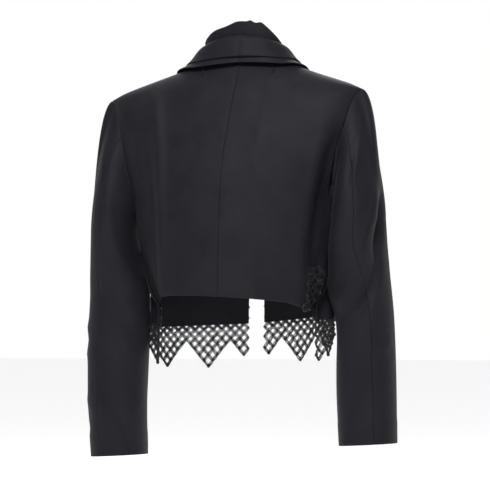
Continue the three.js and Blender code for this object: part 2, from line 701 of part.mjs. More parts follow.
// Points of a fall from its roll to its edge: its height above the body shrinks the faster, the
// higher its drop
function fall(turn, from, to, drop) {
  const above = ([radius, z]) => {
    const { x, y } = planPoint(turn, radius);
    return z - bodyHeightAt(x, y);
  };
  const [start, end] = [above(from), Math.max(above(to), EDGE_RISE)];
  return FALL_STEPS.map((t) => {
    const radius = mix(from[0], to[0], t);
    const { x, y } = planPoint(turn, radius);
    return [radius, bodyHeightAt(x, y) + end + (start - end) * (1 - t) ** drop];
  });
}

function upperSection(turn) {
  const neck = signed(turn, 'neck');
  const seam = neckSeamZ(turn, neck - UPPER.seamIn) + UPPER.seamRise;
  const rollZ = signed(turn, 'rollZ');
  const roll = neck + signed(turn, 'rollOut');
  const edge = signed(turn, 'edge');
  const edgeZ = signed(turn, 'edgeZ');
  return [
    [neck - UPPER.inside, seam],
    [neck - UPPER.inside / 2, mix(seam, rollZ, 0.5)],
    [roll - UPPER.rollIn, rollZ - UPPER.rollDown],
    [roll + UPPER.inside, rollZ],
    ...fall(turn, [roll + UPPER.fallOut, rollZ - UPPER.rollDown], [edge, edgeZ], UPPER.drop),
  ];
}

// The lower layer lies between the stand and the fall of the upper one, and reaches further down
function lowerSection(turn) {
  const neck = signed(turn, 'neck');
  const seam = neckSeamZ(turn, neck + LOWER.seamOut) + LOWER.seamRise;
  const rollZ = Math.max(signed(turn, 'rollZ') - LOWER.below, seam + LOWER.seamRise);
  const edge = [signed(turn, 'lower'), signed(turn, 'lowerZ')];
  return [
    [neck + LOWER.seamOut, seam],
    [mix(neck + LOWER.seamOut, neck + LOWER.rollOut, 0.2), rollZ - LOWER.stand],
    [neck + LOWER.rollOut, rollZ],
    ...fall(turn, [neck + LOWER.fallOut, rollZ - LOWER.fallDown], edge, LOWER.drop),
  ];
}

// The band stands inside the neck and rises above the roll
function bandSection(turn) {
  const neck = signed(turn, 'neck') - STAND.inside;
  const seam = neckSeamZ(turn, neck + STAND.seamOut) + STAND.seamRise;
  const top = Math.max(along(BAND, 'turn', 'top', turn), seam + STAND.least);
  return [
    [neck, seam], [neck, mix(seam, top, 0.4)], [neck + STAND.lean, mix(seam, top, 0.75)],
    [neck + STAND.out, top],
  ];
}

// Lapels lie on the fronts below the collar, between the roll line and a full outer edge
function gorge(reach) {
  return (u) => {
    const { x, y } = planPoint(GORGE_TURN, mix(signed(GORGE_TURN, 'neck'), reach, u));
    return place('front', x, bodyHeightAt(x, y));
  };
}

function lapel(hand, { reach, lift }) {
  const top = gorge(reach);
  const corner = planPoint(GORGE_TURN, reach);
  const cornerZ = bodyHeightAt(corner.x, corner.y);
  const edge = (t) => place('front',
    mix(BREAK_ACROSS, corner.x, t) + LAPEL_BELLY * Math.sin(Math.PI * t) * t,
    mix(BREAK_Z, cornerZ, t));
  const rollTop = planPoint(GORGE_TURN, signed(GORGE_TURN, 'neck'));
  const rollEnd = (bodyHeightAt(rollTop.x, rollTop.y) - BREAK_Z) / (ridge(NECK_ACROSS) - BREAK_Z);
  const roll = (t) => (t >= 1 ? top(0) : frontNeck(rollEnd * t));
  const start = (u) => place('front', BREAK_ACROSS + LAPEL_START * u, BREAK_Z);
  const edgeFrom = (t) => (t <= 0 ? start(1) : (t >= 1 ? top(1) : edge(LAPEL_TAPER + (1 - LAPEL_TAPER) * t)));
  const grid = patch(start, edgeFrom, top, roll, STEPS.lapelAcross, STEPS.lapelAlong);
  return panelWall('front', hand, grid, {}, lift);
}

// Beaded net: diamonds between strands, in rows that run out into points
const ARC_SAMPLES = 200;
function netAngles() {
  const run = runOfHeight('front', NET.level);
  const last = centreFront(0).angle;
  const list = [{ share: 0, angle: SIDE }];
  let length = 0;
  let before = bodyPlain('front', run, SIDE);
  for (let k = 1; k <= ARC_SAMPLES; k += 1) {
    const angle = mix(SIDE, last, k / ARC_SAMPLES);
    const p = bodyPlain('front', run, angle);
    length += Math.hypot(p.x - before.x, p.y - before.y);
    before = p;
    list.push({ share: length, angle });
  }
  return list.map((row) => ({ share: row.share / length, angle: row.angle }));
}
const NET_ANGLES = netAngles();

function netPoint(hand, i, j, lift) {
  const share = clamp(i / NET.columns, 0, 1);
  const k = clamp(NET_ANGLES.findIndex((row) => row.share >= share), 1, NET_ANGLES.length - 1);
  const [a, b] = [NET_ANGLES[k - 1], NET_ANGLES[k]];
  const angle = mix(a.angle, b.angle, clamp((share - a.share) / (b.share - a.share), 0, 1));
  const whole = Math.floor(j);
  let drop = SEAM_GAP;
  for (let row = 0; row < whole; row += 1) drop += NET_ROWS[row].height;
  if (j > whole) drop += (j - whole) * NET_ROWS[whole].height;
  const run = runOfHeight('front', CLOTH_END_HEIGHT - drop / (ridge(NET.across) - HEM_Z));
  return bodyPoint('front', hand, run, angle).addScaledVector(bodyNormal('front', hand, run, angle), lift);
}

function netPanel(hand) {
  const points = [];
  const index = new Map();
  const vertex = (i, j, layer) => {
    const key = `${i.toFixed(3)} ${j.toFixed(3)} ${layer}`;
    if (!index.has(key)) {
      index.set(key, points.length);
      points.push(netPoint(hand, i, j, layer === 0 ? 0 : -NET_WALL));
    }
    return index.get(key);
  };
  const faces = [];
  const edges = new Map();
  const plate = (corners) => {
    for (let k = 1; k < corners.length - 1; k += 1) {
      const trio = [corners[corners.length - 1], corners[k - 1], corners[k]];
      const front = trio.map(([i, j]) => vertex(i, j, 0));
      const back = trio.map(([i, j]) => vertex(i, j, 1));
      faces.push(front, [back[0], back[2], back[1]]);
      for (let m = 0; m < 3; m += 1) {
        const [a, b] = [front[m], front[(m + 1) % 3]];
        const [c, d] = [back[m], back[(m + 1) % 3]];
        if (edges.has(`${b} ${a}`)) edges.delete(`${b} ${a}`);
        else edges.set(`${a} ${b}`, [a, b, c, d]);
      }
    }
  };
  const cell = (i, j) => {
    const outer = [[i, j - 1], [i + 1, j], [i, j + 1], [i - 1, j]];
    const hole = outer.map(([a, b]) => [i + (a - i) * NET.open, j + (b - j) * NET.open]);
    for (let k = 0; k < 4; k += 1) plate([outer[k], outer[(k + 1) % 4], hole[(k + 1) % 4], hole[k]]);
  };
  const inPoint = (i, j) => {
    const across = Math.abs((i + NET.pointFrom) % NET.point - NET.point / 2);
    return across <= NET.point / 2 - (j - NET.straight);
  };
  for (let j = 1; j <= NET_ROWS.length; j += 1) {
    for (let i = 1; i < NET.columns; i += 1) {
      if ((i + j) % 2 === 0 && (j <= NET.straight || inPoint(i, j))) cell(i, j);
    }
  }
  for (let i = 1; i < NET.columns; i += 1) if (i % 2 === 0) plate([[i - 1, 0], [i + 1, 0], [i, 1]]);
  plate([[0, 0], [1, 0], [0, 1]]);
  plate([[NET.columns - 1, 0], [NET.columns, 0], [NET.columns, 1]]);
  for (const [a, b, c, d] of edges.values()) faces.push([b, a, c], [b, c, d]);
  return solid(points, faces);
}

for (const [label, hand] of [['left', 1], ['right', -1]]) {
  add(`back_${label}`, backPanel(hand), cloth());
  add(`side_${label}`, sidePanel(hand), cloth());
  add(`front_${label}`, frontPanel(hand), cloth());
  const rows = hand > 0 ? SLEEVE_LEFT : SLEEVE_RIGHT;
  const folds = hand > 0 ? FOLDS_LEFT : FOLDS_RIGHT;
  const ringSteps = STEPS.armholeBack + STEPS.armholeUnder + STEPS.armholeFront;
  add(`lapel_${label}_lower`, lapel(hand, LAPELS.lower), cloth());
  add(`lapel_${label}_upper`, lapel(hand, LAPELS.upper), cloth());
  add(`net_${label}`, netPanel(hand), beads());
  add(`sleeve_${label}_upper`, sleevePiece(rows, folds, hand, UPPER_FROM, UPPER_TO), cloth());
  add(`sleeve_${label}_under`, sleevePiece(rows, folds, hand, UPPER_TO, ringSteps + UPPER_FROM), cloth());
}
add('collar_upper', sweptCollar(upperSection, COLLAR_REACH, STEPS.collar), cloth());
add('collar_lower', sweptCollar(lowerSection, COLLAR_REACH, STEPS.collar), cloth());
add('collar_band', sweptCollar(bandSection, BAND_REACH, STEPS.band), cloth());

export default jacket;
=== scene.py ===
"""Cropped tailored jacket in its worn, hollow form: fine cloth shells, seams, creases and a net of
beads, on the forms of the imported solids. Sizes are in millimetres until a mesh is made."""
import math
import random

import bpy
import numpy as np
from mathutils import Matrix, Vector


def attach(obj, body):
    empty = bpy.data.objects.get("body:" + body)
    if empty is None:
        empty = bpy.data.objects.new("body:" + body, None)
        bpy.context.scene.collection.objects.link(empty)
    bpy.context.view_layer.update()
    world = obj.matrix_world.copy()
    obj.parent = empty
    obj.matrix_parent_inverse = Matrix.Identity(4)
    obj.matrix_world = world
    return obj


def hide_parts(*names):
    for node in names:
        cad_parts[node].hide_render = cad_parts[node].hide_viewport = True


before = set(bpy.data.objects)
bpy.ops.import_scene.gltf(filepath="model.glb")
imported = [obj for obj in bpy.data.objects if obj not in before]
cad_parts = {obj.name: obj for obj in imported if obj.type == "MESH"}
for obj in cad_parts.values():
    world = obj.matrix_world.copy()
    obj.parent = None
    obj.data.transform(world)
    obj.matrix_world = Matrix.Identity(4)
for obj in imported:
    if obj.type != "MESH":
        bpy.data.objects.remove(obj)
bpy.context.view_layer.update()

MM = 0.001
rad = math.radians
SIDE = math.pi / 2

# Camera: the photograph looks at the back, a little from the wearer's right
CAMERA_AZIMUTH = rad(195)
CAMERA_DISTANCE = 10.0
FRAME_WIDE = 0.843
FRAME_CENTRE_RIGHT = 0.0138
FRAME_CENTRE_Z = -0.299
SENSOR = 36.0

# Cloth and seams
WALL = 1.6
SEAM_GAP = 0.3
SLEEVE_GAP = 0.6
HEAD_GAP = 0.2
BODY_GAP = 1.5
SEAM_DROP = 0.25
SEAM_WIDE = 1.3
RIM = 0.45
FLANGE = 5
FLANGE_INNER = 0.8
SLEEVE_FLANGE = 9
FINE = 5


class Curve:
    """Smooth curve through a table's rows, with slopes from each row's neighbours."""

    def __init__(self, pairs):
        self.keys, self.values = zip(*sorted(pairs))
        last = len(self.keys) - 1
        self.slopes = []
        for k in range(last + 1):
            a, b = max(k - 1, 0), min(k + 1, last)
            self.slopes.append((self.values[b] - self.values[a]) / (self.keys[b] - self.keys[a]))

    def __call__(self, key):
        keys = self.keys
        i = 0
        while i < len(keys) - 2 and keys[i + 1] <= key:
            i += 1
        span = keys[i + 1] - keys[i]
        t = clamp((key - keys[i]) / span, 0, 1)
        return hermite(self.values[i], self.slopes[i] * span, self.values[i + 1],
                       self.slopes[i + 1] * span, t)


def table(columns, *rows):
    """A curve for each named column, over the first column."""
    names = columns.split()
    return {name: Curve([(row[0], row[k + 1]) for row in rows]) for k, name in enumerate(names[1:])}


def clamp(value, low, high):
    return min(max(value, low), high)


def mix(a, b, t):
    return a + (b - a) * t


def smooth(start, end, value):
    t = clamp((value - start) / (end - start), 0, 1)
    return t * t * (3 - 2 * t)


def power(value, exponent):
    return math.copysign(abs(value) ** exponent, value)


def hermite(p, p_slope, q, q_slope, t):
    u = 1 - t
    return p * (1 + 2 * t) * u * u + p_slope * t * u * u + q * t * t * (3 - 2 * t) - q_slope * t * t * u


# Body: half width and depths at each height, from the hem (0) to the shoulder ridge (1)
HEM_Z = -396
CHEST = 0.39
CHEST_RUN = 0.5
ROUNDNESS = 2.2
DOMES = {"back": 1.6, "front": 1.9}
SHOULDER_DOME = 2.6
DOME_FROM = rad(25)
DOME_TO = rad(80)
FLARE_ANGLE = rad(12)
BODY = table(
    "height half flare back front",
    (-0.40, 142, 20, 129, 129),
    (-0.20, 139, 29, 129, 131),
    (-0.08, 137, 30, 129, 132),
    (0.00, 138, 26, 129, 133),
    (0.02, 145, 19, 129, 133),
    (0.08, 155, 9, 129, 134),
    (0.18, 165, 2, 128, 135),
    (0.28, 173, 0, 125, 134),
    (0.40, 178, 0, 117, 128),
    (0.49, 182, 0, 117, 128),
    (0.63, 195, 0, 117, 128),
    (0.82, 210, 0, 117, 128),
    (1.00, 223, 0, 117, 128),
)
RIDGE = table("across z", (0, 32), (40, 26), (75, 14), (108, 2), (141, -9.5), (178, -22), (200, -30),
              (225, -42))["z"]

# Seams and edges of the panels
NECK_ACROSS = 72
NECK_BACK_Z = 17
BREAK_ACROSS = 12
BREAK_Z = -235
SIDE_BACK_AT_HEM = rad(62)
HEM_ARCH = 0.03
SIDE_HEM_DROP = {1: 0, -1: 0.045}
SIDE_HEM_FROM = rad(48)
UNDERARM_HEIGHT = 0.403
SIDE_BACK_ON_ARMHOLE = 0.62
SCOOPS = {"back": rad(19), "front": rad(27)}
SCOOP_SQUARENESS = 0.6
CLOTH_END_HEIGHT = -0.09

# Stance
SHOULDER_TILT = -0.04
HEM_TILT_BACK = 0.045
HEM_TILT_FRONT = -0.07
SLEEVE_TILT = -0.05
NECK_SHIFT = -13
NECK_SHIFT_REACH = 190
NECK_SHIFT_FROM_Z = -215
NECK_SHIFT_TO_Z = 10
TILT_CHANGE_DEEP = 70
TILT_CHANGE_Z = -150

# Sleeves: centre, half sizes across and deep, and turn of the section at each level
SLEEVES = {
    1: table(
        "z x y across deep turn",
        (-268, 219, -5, 39, 67, 0), (-308, 218, -10, 43, 65, 0), (-345, 215.5, -15, 48.5, 61, 0),
        (-377, 214.5, -20, 51.5, 58, 0), (-445, 218.4, -25, 53, 57, 0), (-505, 221, -28, 52, 56, 0),
        (-566, 223, -32, 50.5, 54, 0), (-652, 222, -40, 48.5, 52, 0)),
    -1: table(
        "z x y across deep turn",
        (-268, 217, 6, 40, 68, 10), (-308, 215, 2, 44, 67, 12), (-345, 214, -8, 49, 63, 8),
        (-382, 212, -20, 54, 58, 0), (-428, 218.8, -27, 50, 57, 0), (-463, 221, -30, 49, 57, 0),
        (-514, 221, -32, 50.5, 56, 0), (-566, 221, -35, 51, 54, 0), (-652, 222.4, -40, 49.5, 52, 0)),
}
BICEPS_Z = -268
CUFF_Z = -652
HEAD_PULL = {"start": 80, "middle": 26, "under": 12}
ARM_PULL = {"start": 225, "under": 22}
HEAD_DOWN = rad(22)
HEAD_TURN = rad(22)
HEAD_SEAM = (rad(10), rad(40))
UNDER_SIDE = (rad(60), rad(180))
FULL_HEAD = rad(75)
PRESSED_FROM = rad(70)
WALL_TURNED = 0.6
HEAD_CALM = 0.35
ARM_SQUARENESS = 0.92
PRESSED_HEIGHTS = (-0.35, 0.75)

# Steps along each edge in the solids; the shells have FINE times as many
STEPS = {"side": 8, "armhole_back": 6, "armhole_under": 3, "armhole_front": 8, "below": 1, "neck": 3,
         "shoulder": 7, "head": 7, "arm": 13, "lapel_across": 5, "lapel_along": 12, "collar": 24,
         "band": 18, "section": 9}

# Collar, by the turn round the neck from the centre back, in degrees
NECK_CENTRE_Y = -12
COLLAR_REACH = 126
FALL_STEPS = (0, 0.3, 0.65, 1)
EDGE_RISE = 4
STAND_DEEP = 5
COLLAR = table(
    "turn neck roll_out roll_z edge edge_z lower lower_z",
    (0, 38, 3, 60, 54, 25, 52, 14),
    (30, 42, 3, 58, 59, 24, 60, 13),
    (60, 56, 3, 50, 77, 20, 84, 9),
    (90, 72, 4, 36, 99, 13, 114, 3),
    (112, 76, 4, 20, 110, -13, 125, -36),
    (130, 80, 4, 0, 117, -51, 127, -83),
)
BAND_REACH = 88
BAND_TOP = table("turn top", (-90, 40), (-75, 58), (-60, 72), (-40, 81), (-20, 84), (0, 84), (20, 82),
                 (40, 77), (60, 70), (75, 61), (90, 50))["top"]

# Lapels
GORGE_TURN = 126.5
LAPEL_REACH = {"lower": 134, "upper": 124}
LAPEL_LIFT = {"lower": 2.5, "upper": 4.8}
LAPEL_BELLY = 9
LAPEL_START = 6
LAPEL_TAPER = 0.07

# Net: columns and points in half diamonds, rows as half diamonds from the cloth down
NET_COLUMNS = 30
NET_POINT = 10
NET_POINT_FROM = 4
NET_STRAIGHT = 2
NET_ROWS = (7, 7, 8, 8.5, 9, 9.5, 9.5, 9.5)
NET_WAIST_Z = 138


# The body surface
def body_tilt(y, z):
    hem = mix(HEM_TILT_FRONT, HEM_TILT_BACK, smooth(-TILT_CHANGE_DEEP, TILT_CHANGE_DEEP, y))
    return mix(hem, SHOULDER_TILT, smooth(HEM_Z, TILT_CHANGE_Z, z))


def stance(x, y, z):
    reach = math.cos(clamp(x / NECK_SHIFT_REACH, -1, 1) * SIDE) ** 2
    shift = NECK_SHIFT * smooth(NECK_SHIFT_FROM_Z, NECK_SHIFT_TO_Z, z) * reach
    return Vector((x + shift, y, z + body_tilt(y, z) * x))


def dome(face, height, angle):
    rise = clamp((height - CHEST) / (1 - CHEST), 0, 1)
    exponent = mix(DOMES[face], SHOULDER_DOME, smooth(DOME_FROM, DOME_TO, angle))
    return max(1 - rise ** exponent, 0) ** (1 / exponent)


def ridge(x):
    return RIDGE(abs(x))


def body_plain(face, run, angle):
    height = CHEST * run / CHEST_RUN
    if run > CHEST_RUN:
        lift = math.sin((run - CHEST_RUN) / (1 - CHEST_RUN) * SIDE)
        height = CHEST + (1 - CHEST) * lift ** (2 / DOMES[face])
    flare = 0
    if face == "front":
        flare = BODY["flare"](height) * smooth(SIDE, SIDE - FLARE_ANGLE, angle)
    x = (BODY["half"](height) + flare) * power(math.sin(angle), 2 / ROUNDNESS)
    depth = BODY[face](height) * dome(face, height, angle) * power(math.cos(angle), 2 / ROUNDNESS)
    return x, depth if face == "back" else -depth, HEM_Z + height * (ridge(x) - HEM_Z)


def body_point(face, hand, run, angle):
    x, y, z = body_plain(face, run, angle)
    return stance(hand * x, y, z)


NORMAL_STEP = 0.004
RUN_LIMIT = 0.985
ANGLE_EDGE = 0.05


def body_normal(face, hand, run, angle):
    r = min(run, RUN_LIMIT)
    a = min(angle, SIDE - ANGLE_EDGE)
    upward = body_point(face, hand, r + NORMAL_STEP, a) - body_point(face, hand, r - NORMAL_STEP, a)
    outward = body_point(face, hand, r, a + NORMAL_STEP) - body_point(face, hand, r, a - NORMAL_STEP)
    normal = outward.cross(upward).normalized()
    if normal.y * (1 if face == "back" else -1) < 0:
        normal.negate()
    normal.y *= clamp((1 - run) / (1 - RUN_LIMIT), 0, 1) * clamp((SIDE - angle) / ANGLE_EDGE, 0, 1)
    return normal.normalized()


def run_of_height(face, height):
    if height <= CHEST:
        return height / CHEST * CHEST_RUN
    lift = math.asin(clamp((height - CHEST) / (1 - CHEST), 0, 1) ** (DOMES[face] / 2))
    return CHEST_RUN + (1 - CHEST_RUN) * lift / SIDE


def place(face, x, z):
    height = (z - HEM_Z) / (ridge(x) - HEM_Z)
    fraction = clamp(x / BODY["half"](height), 0, 1)
    return run_of_height(face, height), math.asin(fraction ** (ROUNDNESS / 2))


def angle_at(face, run, x):
    half = body_plain(face, run, SIDE)[0]
    return math.asin(clamp(abs(x) / half, 0, 1) ** (ROUNDNESS / 2))


def body_height_at(x, y):
    """Height of the body under a point of the plan, near the neck and shoulders."""
    face = "back" if y >= 0 else "front"
    low, high = 0, 1
    for _ in range(30):
        run = (low + high) / 2
        if abs(body_plain(face, run, angle_at(face, run, x))[1]) > abs(y):
            low = run
        else:
            high = run
    return body_plain(face, low, angle_at(face, low, x))[2]


UNDERARM_RUN = run_of_height("back", UNDERARM_HEIGHT)


def armhole(face, t):
    angle = SIDE - SCOOPS[face] * max(math.sin(math.pi * t), 0) ** SCOOP_SQUARENESS
    return mix(1, UNDERARM_RUN, t), angle


# Creases: each is a ridge (or, with a negative depth, a trough) along a path of points
CREASE_REACH = 2.6
CREASE_ENDS = 0.2
CREASE_UNEVEN = 0.22


class Crease:
    def __init__(self, depth, wide, path):
        self.depth, self.wide = depth, wide
        self.pieces = [(*a, b[0] - a[0], b[1] - a[1], math.dist(a, b)) for a, b in zip(path, path[1:])]
        self.length = sum(piece[-1] for piece in self.pieces)
        self.phase = depth * 5 + path[0][1]
        xs, zs = zip(*path)
        reach = CREASE_REACH * wide
        self.box = (min(xs) - reach, max(xs) + reach, min(zs) - reach, max(zs) + reach)

    def at(self, x, z):
        if not (self.box[0] < x < self.box[1] and self.box[2] < z < self.box[3]):
            return 0
        best, where, before = 1e9, 0, 0
        for ax, az, dx, dz, length in self.pieces:
            t = clamp(((x - ax) * dx + (z - az) * dz) / length ** 2, 0, 1)
            off = math.hypot(x - ax - dx * t, z - az - dz * t)
            if off < best:
                best, where = off, (before + t * length) / self.length
            before += length
        ends = smooth(0, CREASE_ENDS, where) * (1 - smooth(1 - CREASE_ENDS, 1, where))
        uneven = 1 + CREASE_UNEVEN * math.sin(where * 9 + self.phase)
        return self.depth * ends * uneven * math.exp(-(best / self.wide) ** 2)


def crease_depth(creases, x, z):
    return sum(crease.at(x, z) for crease in creases)


def creases(*rows):
    return [Crease(*row) for row in rows]


BACK_CREASES = creases(
    (5.0, 10, ((145, 10), (129, -60), (116, -131), (108, -239), (106, -352), (106, -460))),
    (-9.0, 14, ((168, -40), (150, -110), (136, -222), (130, -308), (128, -390), (127, -480))),
    (-10.0, 15, ((186, -50), (172, -130), (161, -222), (155, -308), (151, -390), (150, -480))),
    (3.4, 14, ((-186, -60), (-163, -136), (-147, -222), (-138, -308), (-131, -390), (-128, -480))),
    (-16.0, 13, ((-200, -80), (-183, -136), (-168, -222), (-158, -308), (-151, -390), (-148, -480))),
    (1.3, 6, ((98, -139), (80, -150), (58, -149))),
    (-1.0, 5, ((96, -152), (78, -161), (54, -158))),
    (1.2, 6, ((96, -170), (78, -181), (50, -181))),
    (-0.9, 5, ((94, -184), (76, -193), (52, -192))),
    (1.3, 7, ((100, -208), (80, -220), (54, -216))),
    (1.0, 6, ((92, -244), (72, -251), (46, -248))),
    (0.9, 9, ((-40, -120), (-78, -138), (-118, -135))),
    (0.8, 9, ((-30, -205), (-70, -216), (-104, -226))),
    (1.3, 11, ((-62, -270), (-58, -340), (-66, -430))),
    (-1.2, 12, ((58, -265), (62, -345), (60, -440))),
    (1.0, 10, ((18, -280), (22, -350), (20, -440))),
    (1.8, 16, ((60, 0), (100, -30), (150, -62))),
    (1.6, 15, ((-64, 0), (-104, -34), (-150, -70))),
)
FRONT_CREASES = creases(
    (3.6, 14, ((176, -60), (156, -140), (134, -225), (124, -330))),
    (-3.0, 12, ((186, -100), (168, -180), (152, -262))),
    (3.2, 15, ((-180, -70), (-156, -160), (-138, -235), (-126, -330))),
    (-2.6, 12, ((-188, -110), (-168, -190), (-152, -266))),
    (1.5, 10, ((60, -250), (92, -240), (124, -252))),
    (1.2, 9, ((40, -300), (76, -288), (112, -300))),
    (1.5, 10, ((-56, -242), (-88, -236), (-122, -250))),
    (1.2, 9, ((-36, -292), (-72, -284), (-108, -294))),
    (1.6, 16, ((78, 0), (112, -36), (150, -70))),
    (1.6, 16, ((-78, 0), (-112, -36), (-150, -70))),
)
BODY_CREASES = {"back": BACK_CREASES, "front": FRONT_CREASES}

# Hem allowances, as a soft step above each lower edge, and calm stretches beside the seams
HEM_DEEP = 38
HEM_STEP = 0.5
HEM_STEP_SOFT = 3
CUFF_HEM_DEEP = 40
CUFF_STEP_SOFT = 4
SIDE_CALM = rad(12)
SHOULDER_CALM = 0.94


def body_crease(face, point, run, angle):
    depth = crease_depth(BODY_CREASES[face], point.x, point.z)
    if face == "back":
        above = run / CHEST_RUN * CHEST * -HEM_Z - HEM_ARCH * -HEM_Z
        depth += HEM_STEP * (1 - smooth(HEM_DEEP - HEM_STEP_SOFT, HEM_DEEP + HEM_STEP_SOFT, above))
    at_side = smooth(SIDE, SIDE - SIDE_CALM, angle)
    return depth * (1 - smooth(SHOULDER_CALM, 1, run)) * at_side


# Grids of run and angle
def patch(bottom, right, top, left, us, vs):
    """Boundaries of a panel, blended over its inside."""
    def corner_blend(k, u, v):
        ends = mix(mix(bottom(0)[k], bottom(1)[k], u), mix(top(0)[k], top(1)[k], u), v)
        return mix(bottom(u)[k], top(u)[k], v) + mix(left(v)[k], right(v)[k], u) - ends
    return [[(corner_blend(0, u, v), corner_blend(1, u, v)) for u in us] for v in vs]


def chain(*stretches):
    """Joins stretches end to end, each with its share of the steps."""
    total = sum(steps for _, steps in stretches)

    def curve(t):
        start = 0
        for stretch, steps in stretches:
            if t * total <= start + steps + 1e-9:
                return stretch(clamp((t * total - start) / steps, 0, 1))
            start += steps
        return stretches[-1][0](1)
    return curve


def straight(a, b):
    return lambda t: (mix(a[0], b[0], t), mix(a[1], b[1], t))


def even(steps):
    return [k / steps for k in range(steps + 1)]


# Meshes
def shell(name, outer, inner, seams, material, flange=FLANGE, bottom_fold=None):
    """A closed shell of cloth between two grids of points. Its seamed edges draw in, by half a gap
    and down, and each edge is rounded. The bottom seam's allowance can have directions of its own."""
    outer = np.array([[tuple(p) for p in line] for line in outer])
    inner = np.array([[tuple(p) for p in line] for line in inner])
    outer, inner = near_rows(outer, inner, 0)
    outer, inner = near_rows(outer, inner, 1)
    edges = {"bottom": (np.s_[0, :], np.s_[1, :]), "top": (np.s_[-1, :], np.s_[-2, :]),
             "left": (np.s_[:, 0], np.s_[:, 1]), "right": (np.s_[:, -1], np.s_[:, -2])}
    for grid in (outer, inner):
        before = grid.copy()
        for side in seams:
            edge, next_in = edges[side]
            step = before[next_in] - before[edge]
            step /= np.linalg.norm(step, axis=1, keepdims=True)
            grid[edge] += step * SEAM_GAP / 2
    down = inner - outer
    down /= np.linalg.norm(down, axis=2, keepdims=True)
    if bottom_fold:
        down[0] = [bottom_fold[k] for k in (0, *range(len(bottom_fold)), -1)]
    for side in seams:
        outer, inner, down = turned_in(outer, inner, down, side, flange)
    rows, columns = outer.shape[:2]
    loop = [(0, j) for j in range(columns - 1)] + [(i, columns - 1) for i in range(rows - 1)]
    loop += [(rows - 1, j) for j in range(columns - 1, 0, -1)] + [(i, 0) for i in range(rows - 1, 0, -1)]
    rim = []
    for i, j in loop:
        k, m = clamp(i, 1, rows - 2), clamp(j, 1, columns - 2)
        away = outer[i, j] - outer[k, m]
        rim.append((outer[i, j] + inner[i, j]) / 2 + away / max(np.linalg.norm(away), 1e-9) * WALL * RIM)
    points = np.concatenate([outer.reshape(-1, 3), inner.reshape(-1, 3), np.array(rim)])
    size = rows * columns
    at = np.arange(size).reshape(rows, columns)
    quads = np.stack([at[:-1, :-1], at[:-1, 1:], at[1:, 1:], at[1:, :-1]], axis=-1).reshape(-1, 4)
    faces = [*quads.tolist(), *(quads[:, ::-1] + size).tolist()]
    count = len(loop)
    for n, (i, j) in enumerate(loop):
        k, m = loop[(n + 1) % count]
        a, b = int(at[i, j]), int(at[k, m])
        c, d = 2 * size + n, 2 * size + (n + 1) % count
        faces += [[b, a, c, d], [d, c, a + size, b + size]]
    piece = mesh_object(name, points, faces, material)
    across, up = lengths_over(outer, 1), lengths_over(outer, 0)
    flat = np.stack([across - across[:, -1:] / 2, up], axis=-1).reshape(-1, 2) * MM
    edge = np.array([flat[int(at[i, j])] for i, j in loop])
    layer = piece.data.uv_layers.new(name="grain")
    whole = np.concatenate([flat, flat, edge])
    vertex = np.empty(len(piece.data.loops), dtype=np.int32)
    piece.data.loops.foreach_get("vertex_index", vertex)
    layer.data.foreach_set("uv", whole[vertex].ravel())
    return piece


def lengths_over(grid, axis):
    """Length from the first row or column to each point, over the cloth."""
    steps = np.linalg.norm(np.diff(grid, axis=axis), axis=2)
    return np.insert(np.cumsum(steps, axis=axis), 0, 0, axis=axis)


def near_rows(outer, inner, axis):
    """One more row near each end, for the seam or rim, on the straight line to the next."""
    outer, inner = np.moveaxis(outer, axis, 0), np.moveaxis(inner, axis, 0)
    first = min(SEAM_WIDE / np.linalg.norm(outer[1] - outer[0], axis=1).mean(), 0.5)
    last = min(SEAM_WIDE / np.linalg.norm(outer[-2] - outer[-1], axis=1).mean(), 0.5)
    grids = [np.concatenate([grid[:1], mix(grid[:1], grid[1:2], first), grid[1:-1],
                             mix(grid[-1:], grid[-2:-1], last), grid[-1:]]) for grid in (outer, inner)]
    return tuple(np.moveaxis(grid, 0, axis) for grid in grids)


def turned_in(outer, inner, down, side, flange):
    """The cloth rounds over a seam and its allowance turns in, at right angles to the wall."""
    axis, first = {"bottom": (0, True), "top": (0, False), "left": (1, True), "right": (1, False)}[side]
    outer, inner, down = (np.moveaxis(grid, axis, 0) for grid in (outer, inner, down))
    if not first:
        outer, inner, down = outer[::-1], inner[::-1], down[::-1]
    outer, inner = outer.copy(), inner.copy()
    away = inner[1] - inner[0]
    away /= np.linalg.norm(away, axis=1, keepdims=True)
    outer[0] += down[0] * SEAM_DROP
    inner[0] += away * WALL * FLANGE_INNER
    outer = np.concatenate([outer[:1] + down[:1] * flange, outer])
    inner = np.concatenate([inner[:1] + down[:1] * (flange - WALL), inner])
    down = np.concatenate([down[:1], down])
    if not first:
        outer, inner, down = outer[::-1], inner[::-1], down[::-1]
    return tuple(np.moveaxis(grid, 0, axis) for grid in (outer, inner, down))


def mesh_object(name, points, faces, material):
    """A smooth mesh object from points in millimetres, turned so that its faces point out."""
    points = np.asarray(points, dtype=float) * MM
    volume = 0
    for face in faces:
        a = points[face[0]]
        for k in range(1, len(face) - 1):
            volume += float(np.dot(a, np.cross(points[face[k]], points[face[k + 1]])))
    if volume < 0:
        faces = [face[::-1] for face in faces]
    mesh = bpy.data.meshes.new(name)
    mesh.from_pydata(points.tolist(), [], faces)
    mesh.polygons.foreach_set("use_smooth", [True] * len(mesh.polygons))
    mesh.materials.append(material)
    mesh.update()
    piece = bpy.data.objects.new(name, mesh)
    bpy.context.scene.collection.objects.link(piece)
    return piece


# Materials
def new_material(name):
    material = bpy.data.materials.new(name)
    material.use_nodes = True
    tree = material.node_tree
    shader = tree.nodes["Principled BSDF"]
    return material, tree, shader


